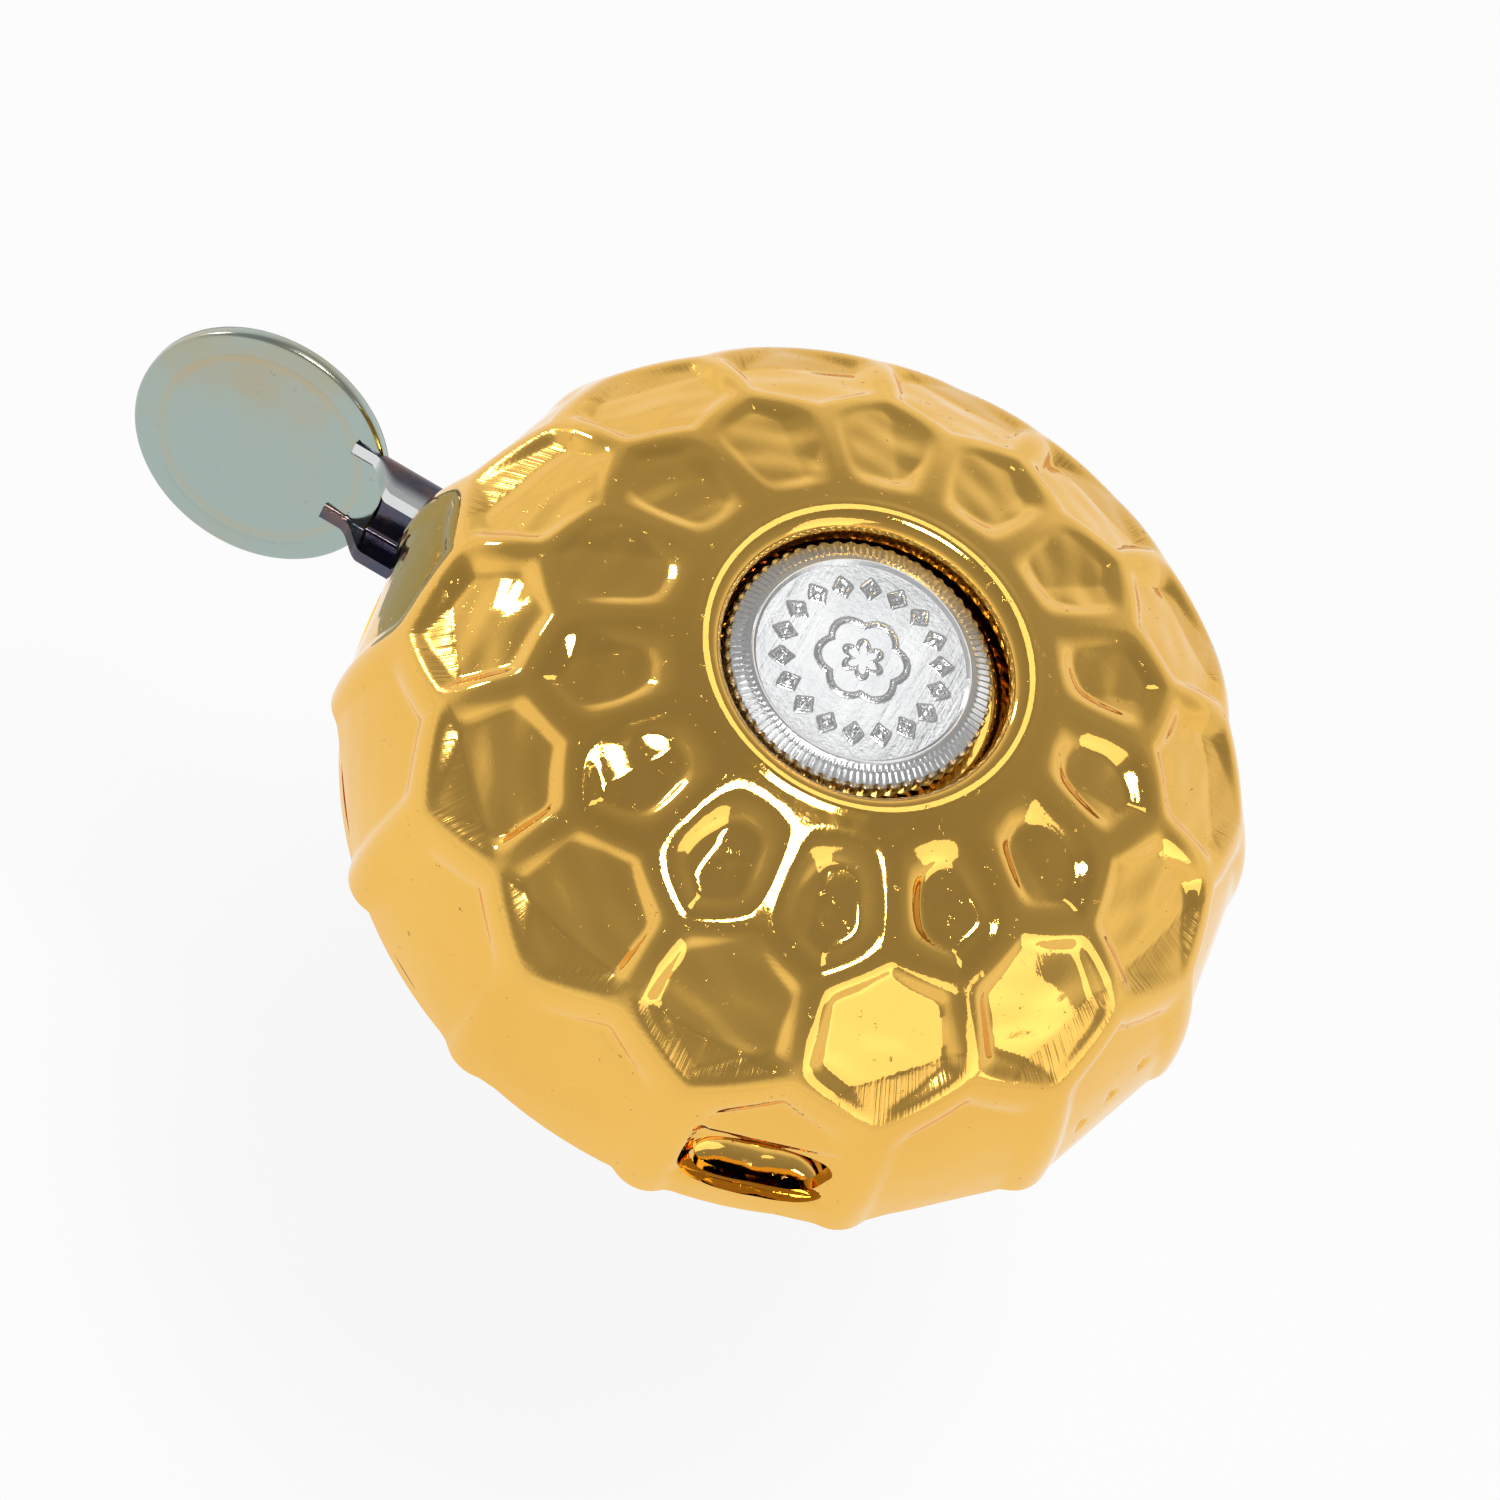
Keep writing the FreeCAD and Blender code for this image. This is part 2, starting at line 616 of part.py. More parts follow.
def clip(radius, bottom, x="0", y="0"):
    """An open ring that snaps into a pin's groove."""
    top = f"({bottom} + sizes.clip_thickness)"
    mouth = cylinder(f"{radius} + sizes.clip_reach + sizes.cut_spare", bottom, top, x, y)
    bind(mouth, Angle="sizes.clip_mouth")
    ring = washer(f"{radius} + sizes.clip_reach", f"{radius} - sizes.clip_groove", bottom, top, x, y)
    return cut(ring, mouth)


PIVOT = (PIVOT_X, "sizes.pivot_y")
PIVOT_CLIP = f"({BOSS_TOP} + sizes.axial_play)"
IDLER_CLIP = f"({GEAR_TOP} + sizes.axial_play)"
PIVOT_SHOULDER = f"({SECTOR_BOTTOM} - sizes.axial_play)"
bell_node(
    clipped_pin("sizes.pivot_radius", "sizes.pivot_shoulder_radius", PIVOT_SHOULDER, PIVOT_CLIP, *PIVOT),
    "lever_pivot_pin",
)
bell_node(clip("sizes.pivot_radius", PIVOT_CLIP, *PIVOT), "lever_pivot_clip")
IDLER_SHOULDER = f"({CUP_FLOOR} + sizes.idler_standoff)"
IDLER = (IDLER_X, IDLER_Y)
bell_node(
    clipped_pin("sizes.idler_radius", "sizes.idler_shoulder_radius", IDLER_SHOULDER, IDLER_CLIP, *IDLER),
    "idler_pin",
)
bell_node(clip("sizes.idler_radius", IDLER_CLIP, *IDLER), "idler_clip")
bell_node(clip("sizes.journal_radius", ROTOR_CLIP_BOTTOM), "rotor_clip")
POST_TOP = f"({SECTOR_TOP} + sizes.coil_pitch * (sizes.coil_turns + 2))"
bell_node(
    joined(
        rivet_head("sizes.post_radius", POST_X, POST_Y),
        cylinder("sizes.post_radius", CUP_BOTTOM, POST_TOP, POST_X, POST_Y),
    ),
    "spring_post",
)
bell_node(
    joined(
        rivet_head("sizes.stop_radius", STOP_X, STOP_Y),
        cylinder("sizes.stop_radius", CUP_BOTTOM, f"{SECTOR_TOP} + sizes.pin_end", STOP_X, STOP_Y),
    ),
    "stop_pin",
)


# Gears: involute teeth, thinned by the backlash, drawn as short straight flanks.
def flank(teeth):
    """Points up one side of a tooth, as radius and half of the tooth's angle there."""
    pitch = value("sizes.gear_module") * teeth / 2
    pressure = math.radians(value("sizes.pressure_angle"))
    base = pitch * math.cos(pressure)
    root = pitch - value("sizes.gear_module * sizes.dedendum_share")
    tip = pitch + value("sizes.gear_module * sizes.addendum_share")
    half = math.pi / (2 * teeth) - value("sizes.backlash") / (2 * pitch) + math.tan(pressure) - pressure
    start = max(base, root)
    points = []
    for step in range(5):
        radius = start + (tip - start) * step / 4
        roll = math.acos(base / radius)
        points.append((radius, half - math.tan(roll) + roll))
    if root < base:
        points.insert(0, (root, points[0][1]))
    return points


def toothed(teeth, middle, count):
    """The outline of count teeth about the origin, the first one's middle at an angle in radians."""
    outline = []
    for k in range(count):
        centre = middle + 2 * math.pi * k / teeth
        for radius, half in flank(teeth):
            outline.append((radius, centre - half))
        for radius, half in reversed(flank(teeth)):
            outline.append((radius, centre + half))
    return [FreeCAD.Vector(r * math.cos(a), r * math.sin(a), 0) for r, a in outline]


def gear_solid(outline, bottom, top, x, y):
    """A gear's outline carried up between two heights, on its axis."""
    face = Part.Face(Part.makePolygon(outline + outline[:1]))
    solid = face.extrude(FreeCAD.Vector(0, 0, value(top) - value(bottom)))
    solid.translate(FreeCAD.Vector(value(x), value(y), value(bottom)))
    return solid


SECTOR_TEETH = int(value("sizes.sector_teeth"))
PINION_TEETH = int(value("sizes.idler_pinion_teeth"))
GEAR_TEETH = int(value("sizes.idler_gear_teeth"))
ROTOR_TEETH = int(value("sizes.rotor_pinion_teeth"))
to_idler = math.atan2(value(IDLER_Y) - value("sizes.pivot_y"), value(IDLER_X) - value(PIVOT_X))
to_spindle = math.atan2(-value(IDLER_Y), -value(IDLER_X))

# The sector has a gap, and the idler pinion a tooth, on the line between their axes at rest.  As the lever is
# pressed the sector turns clockwise, so its teeth run on anticlockwise from there.
sector_pitch = 2 * math.pi / SECTOR_TEETH
spare = int(value("sizes.sector_spare_teeth"))
worked = math.ceil(math.radians(value("sizes.press_turn")) / sector_pitch)
first_tooth = to_idler - (spare - 0.5) * sector_pitch - sector_pitch
sector_outline = [FreeCAD.Vector(0, 0, 0)] + toothed(SECTOR_TEETH, first_tooth, worked + 2 * spare + 2)
sector = made_shape(gear_solid(sector_outline, SECTOR_BOTTOM, SECTOR_TOP, *PIVOT), "sector")

# Lever: the sector, its boss, and a channel-shaped arm that ends in a round plate behind the thumb pad.  The
# arm and the pad lean back by pad_tilt, so they are built upright about the pad's centre and then tilted.
boss = cylinder("sizes.boss_radius", SECTOR_BOTTOM, BOSS_TOP, *PIVOT)
tail = box(
    (
        f"{PIVOT_X} - sizes.tail_length",
        "sizes.pivot_y + sizes.tail_shift - sizes.tail_width / 2",
        SECTOR_BOTTOM,
    ),
    (PIVOT_X, "sizes.pivot_y + sizes.tail_shift + sizes.tail_width / 2", SECTOR_TOP),
)
ARM_IN = f"({PIVOT_X} - sizes.arm_start - {PAD_X})"
PAD_BACK = "(sizes.pad_plate + sizes.pad_skirt + sizes.pad_fit)"
WEB_FRONT = f"({PAD_BACK} - sizes.sheet)"
ARM_LOW = "(sizes.arm_rise - sizes.arm_height / 2)"
ARM_HIGH = "(sizes.arm_rise + sizes.arm_height / 2)"
ARM_FAR = (ARM_IN, PAD_BACK, ARM_HIGH)
FLANGE_FRONT = f"({PAD_BACK} - sizes.top_flange - sizes.cut_spare)"


def across_pad(radius, front, back):
    """A round plate about the pad's own axis, between two depths from its front."""
    made = doc.addObject("Part::Cylinder", "plate")
    bind(made, Radius=radius, Height=f"({back}) - ({front})")
    made.Placement.Rotation = FreeCAD.Rotation(FreeCAD.Vector(1, 0, 0), -90)
    return place(made, "0", front, "0")


def tilted(piece):
    """Leans a piece back and puts it at the pad's place."""
    made = group(piece)
    made.Placement.Rotation.Axis = FreeCAD.Vector(-1, 0, 0)
    made.setExpression(".Placement.Rotation.Angle", "sizes.pad_tilt")
    return place(made, PAD_X, "sizes.pad_y", PAD_Z)


arm = cut(
    joined(
        box(("0", WEB_FRONT, ARM_LOW), ARM_FAR),
        box(("0", f"{PAD_BACK} - sizes.top_flange", f"{ARM_HIGH} - sizes.sheet"), ARM_FAR),
        box(("0", f"{PAD_BACK} - sizes.low_flange", ARM_LOW), (ARM_IN, PAD_BACK, f"{ARM_LOW} + sizes.sheet")),
    ),
    across_pad("sizes.pad_radius + sizes.pad_fit", FLANGE_FRONT, "sizes.pad_plate"),
)
back_plate = joined(
    across_pad("sizes.pad_radius - sizes.pad_skirt_wall - sizes.pad_fit", "sizes.pad_plate", PAD_BACK), arm
)
bell_node(
    cut(
        joined(sector, boss, tail, tilted(back_plate)),
        cylinder("sizes.pivot_radius + sizes.running_play", SECTOR_BOTTOM, BOSS_TOP, *PIVOT),
    ),
    "lever_arm",
)

# Thumb pad: a dished cap, with a skirt that is closed over the lever's round plate and open where the arm
# leaves.
DISH_ARC = "((sizes.pad_dish_radius ^ 2 + sizes.pad_dish_depth ^ 2) / (2 * sizes.pad_dish_depth))"
dish = doc.addObject("Part::Sphere", "dish")
bind(dish, Radius=DISH_ARC)
place(dish, "0", f"sizes.pad_dish_depth - {DISH_ARC}", "0")
SKIRT_BACK = "(sizes.pad_plate + sizes.pad_skirt)"
thumb_pad = cut(
    across_pad("sizes.pad_radius", "0", SKIRT_BACK),
    joined(
        across_pad("sizes.pad_radius - sizes.pad_skirt_wall", "sizes.pad_plate", SKIRT_BACK),
        box(
            ("0", "sizes.pad_plate", f"{ARM_LOW} - sizes.pad_fit"),
            ("sizes.pad_radius + sizes.cut_spare", SKIRT_BACK, f"{ARM_HIGH} + sizes.pad_fit"),
        ),
    ),
    dish,
)
thumb_disc = tilted(thumb_pad)
place(thumb_disc, PAD_X, "sizes.pad_y", f"{PAD_Z} + sizes.rim_height")
node(thumb_disc, "thumb_disc")

# Idler: the small gear that the sector drives, and the large gear riding on it that drives the rotor.
pinion_middle = to_idler + math.pi
PINION_BOTTOM = f"({IDLER_SHOULDER} + sizes.axial_play)"
IDLER_BORE = "sizes.idler_radius + sizes.running_play"
for label, teeth, middle, low, high in (
    ("idler_pinion", PINION_TEETH, pinion_middle, PINION_BOTTOM, GEAR_BOTTOM),
    ("idler_gear", GEAR_TEETH, to_spindle, GEAR_BOTTOM, GEAR_TOP),
):
    blank = made_shape(gear_solid(toothed(teeth, middle, teeth), low, high, *IDLER), label + "_blank")
    bell_node(cut(blank, cylinder(IDLER_BORE, low, high, *IDLER)), label)

# Rotor: its pinion and sleeve run on the spindle, and its bar is riveted over the sleeve's spigot.
rotor_middle = to_spindle + math.pi + math.pi / ROTOR_TEETH
rotor_outline = toothed(ROTOR_TEETH, rotor_middle, ROTOR_TEETH)
rotor_teeth = gear_solid(rotor_outline, ROTOR_BOTTOM, ROTOR_TEETH_TOP, "0", "0")
bell_node(
    cut(
        joined(
            made_shape(rotor_teeth, "rotor_teeth"),
            cylinder("sizes.sleeve_radius", ROTOR_TEETH_TOP, "sizes.bar_bottom"),
            cylinder("sizes.spigot_radius", "sizes.bar_bottom", BAR_TOP),
        ),
        cylinder("sizes.journal_radius + sizes.running_play", ROTOR_BOTTOM, BAR_TOP),
    ),
    "rotor_pinion",
)
STRIKER_Y = {"a": STRIKER_OFFSET, "b": f"-{STRIKER_OFFSET}"}
bar_blank = joined(
    box(
        ("-sizes.bar_half_width", f"-{STRIKER_OFFSET}", "sizes.bar_bottom"),
        ("sizes.bar_half_width", STRIKER_OFFSET, BAR_TOP),
    ),
    *[cylinder("sizes.bar_half_width", "sizes.bar_bottom", BAR_TOP, "0", y) for y in STRIKER_Y.values()],
    cylinder("sizes.spigot_radius + sizes.bar_half_width / 2", "sizes.bar_bottom", BAR_TOP),
)
RIVET = "sizes.striker_rivet_radius"
bar_holes = [cylinder(RIVET, "sizes.bar_bottom", BAR_TOP, "0", y) for y in STRIKER_Y.values()]
bell_node(
    cut(bar_blank, cylinder("sizes.spigot_radius", "sizes.bar_bottom", BAR_TOP), *bar_holes), "rotor_bar"
)

# Strikers: heavy washers, loose on headed rivets, so that they fly outwards and bounce off the tang.
STRIKER_HEAD = f"({STRIKER_TOP} + sizes.axial_play)"
for side, y in STRIKER_Y.items():
    rivet_top = f"({STRIKER_HEAD} + sizes.rivet_head_height)"
    rivet_bottom = "(sizes.bar_bottom - sizes.rivet_head_height)"
    rivet = joined(
        cylinder(RIVET, "sizes.bar_bottom", STRIKER_HEAD, "0", y),
        cylinder("sizes.striker_head_radius", STRIKER_HEAD, rivet_top, "0", y),
        cylinder(f"{RIVET} + sizes.rivet_head_reach", rivet_bottom, "sizes.bar_bottom", "0", y),
    )
    bell_node(rivet, f"striker_rivet_{side}")
    ring = washer("sizes.striker_radius", "sizes.striker_hole_radius", STRIKER_BOTTOM, STRIKER_TOP, "0", y)
    bell_node(ring, f"striker_washer_{side}")

# Return spring: a close left-hand coil round the pivot.  Its low leg runs out behind the arm's web and its high
# leg bears on the spring post.
coil_radius = value(COIL_RADIUS)
pitch = value("sizes.coil_pitch")
height = pitch * value("sizes.coil_turns")
coil = Part.makeHelix(pitch, height, coil_radius, 0, True)
coil.rotate(FreeCAD.Vector(0, 0, 0), FreeCAD.Vector(0, 0, 1), 90)
low_end = FreeCAD.Vector(0, coil_radius, 0)
high_end = FreeCAD.Vector(0, coil_radius, height)
leg = FreeCAD.Vector(2 * math.pi * coil_radius, 0, pitch).normalize() * value("sizes.spring_leg")
legs = [Part.makeLine(low_end - leg, low_end), Part.makeLine(high_end, high_end + leg)]
path = Part.Wire(legs[:1] + coil.Edges + legs[1:])
section = Part.Wire([Part.makeCircle(value("sizes.wire_radius"), low_end - leg, leg)])
wound = path.makePipeShell([section], True, True)
spring = made_shape(wound, "spring_wound")
COIL_BOTTOM = f"({SECTOR_TOP} + sizes.coil_gap + sizes.wire_radius)"
place(spring, *PIVOT, f"sizes.rim_height + {COIL_BOTTOM}")
node(spring, "return_spring")

# Clamp: a saddle strip that is flat on top for the cup, a strap under the bar, and a rubber pad in each.
EAR_BOTTOM = "(sizes.ear_gap / 2)"
EAR_TOP = f"({EAR_BOTTOM} + sizes.strap_thickness)"
OUTER_CORNER = "(sizes.strap_corner + sizes.strap_thickness)"
FLAT = f"({BAND_INNER} - sizes.strap_corner)"


def rise(radius, height):
    """How far out a round band of a radius reaches at a height off its centre."""
    return f"sqrt({radius} ^ 2 - {height} ^ 2)"


saddle_blank = strip(
    "saddle_strip",
    [
        (EAR_REACH, EAR_BOTTOM),
        (EAR_REACH, EAR_TOP),
        (BAND_OUTER, EAR_TOP),
        (BAND_OUTER, f"{PLATE_TOP} - {OUTER_CORNER}", OUTER_CORNER, 1),
        (FLAT, PLATE_TOP),
        (f"-{FLAT}", PLATE_TOP, OUTER_CORNER, 1),
        (f"-{BAND_OUTER}", f"{PLATE_TOP} - {OUTER_CORNER}"),
        (f"-{BAND_OUTER}", EAR_TOP),
        (f"-{EAR_REACH}", EAR_TOP),
        (f"-{EAR_REACH}", EAR_BOTTOM),
        (f"-{BAND_INNER}", EAR_BOTTOM),
        (f"-{BAND_INNER}", f"{PLATE_BOTTOM} - sizes.strap_corner", "sizes.strap_corner", -1),
        (f"-{FLAT}", PLATE_BOTTOM),
        (FLAT, PLATE_BOTTOM, "sizes.strap_corner", -1),
        (BAND_INNER, f"{PLATE_BOTTOM} - sizes.strap_corner"),
        (BAND_INNER, EAR_BOTTOM),
    ],
)
SCREW_X = (SCREW_OFFSET, f"-{SCREW_OFFSET}")
SCREW_HOLE = "sizes.screw_radius + sizes.screw_play"
ear_holes = [cylinder(SCREW_HOLE, EAR_BOTTOM, EAR_TOP, x) for x in SCREW_X]
node(
    cut(saddle_blank, cylinder("sizes.low_thread_radius", PLATE_BOTTOM, PLATE_TOP), *ear_holes), "clamp_saddle"
)
LOW_EAR_TOP = f"(-{EAR_BOTTOM})"
LOW_EAR_BOTTOM = f"(-{EAR_TOP})"
inner_reach = rise(BAND_INNER, EAR_BOTTOM)
outer_reach = rise(BAND_OUTER, EAR_TOP)
strap_blank = strip(
    "strap_strip",
    [
        (EAR_REACH, LOW_EAR_TOP),
        (inner_reach, LOW_EAR_TOP, BAND_INNER, -1),
        (f"-{inner_reach}", LOW_EAR_TOP),
        (f"-{EAR_REACH}", LOW_EAR_TOP),
        (f"-{EAR_REACH}", LOW_EAR_BOTTOM),
        (f"-{outer_reach}", LOW_EAR_BOTTOM, BAND_OUTER, 1),
        (outer_reach, LOW_EAR_BOTTOM),
        (EAR_REACH, LOW_EAR_BOTTOM),
    ],
)
low_holes = [cylinder(SCREW_HOLE, LOW_EAR_BOTTOM, LOW_EAR_TOP, x) for x in SCREW_X]
node(cut(strap_blank, *low_holes), "clamp_strap")
bar_reach = rise("sizes.bar_radius", EAR_BOTTOM)
node(
    strip(
        "low_pad",
        [
            (inner_reach, LOW_EAR_TOP),
            (bar_reach, LOW_EAR_TOP, "sizes.bar_radius", -1),
            (f"-{bar_reach}", LOW_EAR_TOP),
            (f"-{inner_reach}", LOW_EAR_TOP, BAND_INNER, 1),
        ],
    ),
    "clamp_pad_lower",
)
high_pad = strip(
    "high_pad",
    [
        (BAND_INNER, EAR_BOTTOM),
        (BAND_INNER, f"{PLATE_BOTTOM} - sizes.strap_corner", "sizes.strap_corner", 1),
        (FLAT, PLATE_BOTTOM),
        (f"-{FLAT}", PLATE_BOTTOM, "sizes.strap_corner", 1),
        (f"-{BAND_INNER}", f"{PLATE_BOTTOM} - sizes.strap_corner"),
        (f"-{BAND_INNER}", EAR_BOTTOM),
        (f"-{bar_reach}", EAR_BOTTOM, "sizes.bar_radius", -1),
        (bar_reach, EAR_BOTTOM),
    ],
)
nut_pocket = cylinder(
    "sizes.spindle_nut_radius + sizes.nut_pocket_play",
    f"{NUT_BOTTOM} - sizes.thread_end - sizes.nut_pocket_play / 2",
    PLATE_BOTTOM,
)
node(cut(high_pad, nut_pocket), "clamp_pad_upper")

# Fasteners of the clamp: two screws down through the ears, with spring washers under their heads.
WASHER_TOP = f"({EAR_TOP} + sizes.spring_washer_height)"
HEAD_TOP = f"({WASHER_TOP} + sizes.screw_head_height)"
LOW_NUT = f"({LOW_EAR_BOTTOM} - sizes.hex_nut_height)"
screws = []
washers = []
nuts = []
for x in SCREW_X:
    shank = cylinder("sizes.screw_radius", f"{LOW_NUT} - sizes.screw_end", WASHER_TOP, x)
    head = cylinder("sizes.screw_head_radius", WASHER_TOP, HEAD_TOP, x)
    screws.append(
        cut(
            joined(shank, head),
            hexagon("sizes.screw_socket_radius", f"{HEAD_TOP} - sizes.screw_head_height / 2", HEAD_TOP, x),
        )
    )
    washers.append(washer("sizes.screw_head_radius", "sizes.screw_radius", EAR_TOP, WASHER_TOP, x))
    nuts.append(
        cut(
            hexagon("sizes.hex_nut_radius", LOW_NUT, LOW_EAR_BOTTOM, x),
            cylinder("sizes.screw_radius", LOW_NUT, LOW_EAR_BOTTOM, x),
        )
    )
node(group(*screws), "clamp_screws")
node(group(*washers), "clamp_lock_washers")
node(group(*nuts), "clamp_nuts")

doc.recompute()
for item in doc.Objects:
    if "Invalid" in item.State or "Error" in item.State:
        raise RuntimeError(f"{item.Label} did not build: {item.State}")
os.makedirs("parts", exist_ok=True)
for label, piece in nodes.items():
    shape = piece.Shape
    if shape.isNull() or not shape.isValid() or not shape.Solids:
        raise RuntimeError(f"{label} has no valid solid")
    print(f"{label:20s} solids {len(shape.Solids)} volume {shape.Volume:9.2f}")
    shape.exportStep(f"parts/{label}.step")
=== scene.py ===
import json
import math

import bmesh
import bpy
import numpy as np
from mathutils import Matrix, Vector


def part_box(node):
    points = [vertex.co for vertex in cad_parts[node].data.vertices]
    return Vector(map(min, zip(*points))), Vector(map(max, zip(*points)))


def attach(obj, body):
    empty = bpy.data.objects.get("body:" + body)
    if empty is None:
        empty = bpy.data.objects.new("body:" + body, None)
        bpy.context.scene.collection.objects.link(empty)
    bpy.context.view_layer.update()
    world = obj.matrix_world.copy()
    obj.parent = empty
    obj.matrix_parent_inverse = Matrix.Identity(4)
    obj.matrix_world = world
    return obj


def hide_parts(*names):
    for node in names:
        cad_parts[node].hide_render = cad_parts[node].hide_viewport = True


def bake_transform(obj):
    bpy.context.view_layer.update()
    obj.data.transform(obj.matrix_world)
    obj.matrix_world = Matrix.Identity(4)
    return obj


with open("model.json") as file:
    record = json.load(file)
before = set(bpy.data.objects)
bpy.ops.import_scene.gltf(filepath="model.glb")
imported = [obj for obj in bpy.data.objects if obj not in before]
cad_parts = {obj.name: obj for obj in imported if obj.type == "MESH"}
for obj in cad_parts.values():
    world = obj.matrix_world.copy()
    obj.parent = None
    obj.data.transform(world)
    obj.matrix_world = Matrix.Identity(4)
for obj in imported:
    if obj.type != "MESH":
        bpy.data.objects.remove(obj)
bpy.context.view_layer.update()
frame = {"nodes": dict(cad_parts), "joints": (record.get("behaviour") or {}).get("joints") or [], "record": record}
nodes = frame["nodes"]
joints = {joint["name"]: joint for joint in frame["joints"]}
MM = 0.001
gong_low, gong_high = np.array(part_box("gong_dome")) / MM
RIM_HEIGHT = float(gong_low[2])
GONG_SHIFT = 0.3

# Camera: a long lens well above the bell and in front of it, rolled so that the thumb lever drops to the
# left.
LOOK_DOWN = math.radians(59.445)
ROLL = math.radians(30.194)
AIM = np.array([2.229, 3.138, 510.498])
FOCAL_LENGTH = 192.0
sink, rise = math.sin(LOOK_DOWN), math.cos(LOOK_DOWN)
level = np.array([[1, 0, 0], [0, -sink, -rise], [0, rise, -sink]])
across, along = math.cos(ROLL), math.sin(ROLL)
rolled = np.array([[across, -along, 0], [along, across, 0], [0, 0, 1]]) @ level
camera_place = (np.array([GONG_SHIFT, 0, RIM_HEIGHT]) - rolled.T @ AIM) * MM
camera = bpy.data.objects.new("camera", bpy.data.cameras.new("camera"))
camera.data.lens = FOCAL_LENGTH
camera.data.sensor_width = 36.0
camera.data.clip_start = 0.01
turn = Matrix((rolled[0], -rolled[1], -rolled[2])).transposed()
camera.matrix_world = Matrix.Translation(camera_place) @ turn.to_4x4()
bpy.context.scene.collection.objects.link(camera)
bpy.context.scene.camera = camera
bpy.context.scene.view_settings.view_transform = "Standard"


# Gong: a pressed and hammered bell metal dome, gold plated, with three rows of hollows between rounded
# ridges. It hangs on the spindle by a recessed well, and its open rim stands over the cup.
class Value:
    """A number that changes over a surface, in a shader."""

    def __init__(self, shader, socket):
        self.shader = shader
        self.socket = socket

    def made(self, operation, first, second):
        return self.shader.node("ShaderNodeMath", {"operation": operation}, {0: first, 1: second})

    def __add__(self, other):
        return self.made("ADD", self, other)

    def __sub__(self, other):
        return self.made("SUBTRACT", self, other)

    def __rsub__(self, other):
        return self.made("SUBTRACT", other, self)

    def __mul__(self, other):
        return self.made("MULTIPLY", self, other)

    __radd__ = __add__
    __rmul__ = __mul__


class Shader:
    """A material on the Principled surface, with the nodes that feed it."""

    def __init__(self, name, colour, roughness, metallic=1.0, **constants):
        self.material = bpy.data.materials.new(name)
        self.material.use_nodes = True
        self.tree = self.material.node_tree
        self.surface = self.tree.nodes["Principled BSDF"]
        self.surface.inputs["Base Color"].default_value = (*colour, 1)
        self.surface.inputs["Roughness"].default_value = roughness
        self.surface.inputs["Metallic"].default_value = metallic
        for socket, number in constants.items():
            self.surface.inputs[socket.replace("_", " ")].default_value = number
        self.place = self.node("ShaderNodeTexCoord", {}, {}, "Object")

    def node(self, kind, settings, inputs, output=0):
        """Adds a node: its settings first, then the values and links of its sockets."""
        made = self.tree.nodes.new(kind)
        for name, setting in settings.items():
            if name == "stops":
                for stop, (where, shade) in zip(self.stops(made, len(setting)), setting):
                    stop.position = where
                    stop.color = (*shade, 1)
            else:
                setattr(made, name, setting)
        for name, given in inputs.items():
            if isinstance(given, Value):
                self.tree.links.new(given.socket, made.inputs[name])
            else:
                made.inputs[name].default_value = given
        return Value(self, made.outputs[output])

    def stops(self, made, count):
        """A colour ramp's stops, as many as asked for."""
        while len(made.color_ramp.elements) < count:
            made.color_ramp.elements.new(1.0)
        return made.color_ramp.elements

    def noise(self, scale, detail=2.0, roughness=0.5, stretch=(1, 1, 1), place=None):
        """Soft noise from 0 to 1, with so many waves to the metre, over a place that may be stretched."""
        moved = self.node("ShaderNodeMapping", {}, {"Vector": place or self.place, "Scale": stretch})
        inputs = {"Vector": moved, "Scale": scale, "Detail": detail, "Roughness": roughness}
        return self.node("ShaderNodeTexNoise", {}, inputs)

    def ramp(self, amount, low, high):
        """0 below the low amount, 1 above the high one."""
        limits = {"From Min": low, "From Max": high}
        soft = {"interpolation_type": "SMOOTHSTEP"}
        return self.node("ShaderNodeMapRange", soft, {"Value": amount, **limits})

    def shades(self, amount, *stops):
        """Colours along an amount from 0 to 1."""
        return self.node("ShaderNodeValToRGB", {"stops": stops}, {"Fac": amount})

    def mixed(self, amount, first, second):
        """One colour into another."""
        colours = {"Factor": amount}
        for socket, colour in ((6, first), (7, second)):
            colours[socket] = colour if isinstance(colour, Value) else (*colour, 1)
        return self.node("ShaderNodeMix", {"data_type": "RGBA"}, colours, 2)

    def attribute(self, name):
        """A number that the mesh carries."""
        return self.node("ShaderNodeAttribute", {"attribute_name": name}, {}, "Fac")

    def feed(self, **inputs):
        """Links values to the surface's sockets."""
        for socket, amount in inputs.items():
            self.tree.links.new(amount.socket, self.surface.inputs[socket.replace("_", " ")])
        return self

    def bump(self, height, depth):
        """Raises the surface by a height from 0 to 1, times a depth in metres."""
        relief = {"Height": height, "Strength": 1.0, "Distance": depth}
        return self.feed(Normal=self.node("ShaderNodeBump", {}, relief))


def grid_faces(rows, columns, rows_close=False, columns_close=True):
    """Quads of a grid whose vertices run along its rows; either way may close on itself."""
    row = np.arange(rows if rows_close else rows - 1)
    column = np.arange(columns if columns_close else columns - 1)
    row, column = np.meshgrid(row, column, indexing="ij")
    below = (row + 1) % rows
    right = (column + 1) % columns
    corners = [row * columns + column, row * columns + right]
    corners += [below * columns + right, below * columns + column]
    return np.stack(corners, -1).reshape(-1, 4)


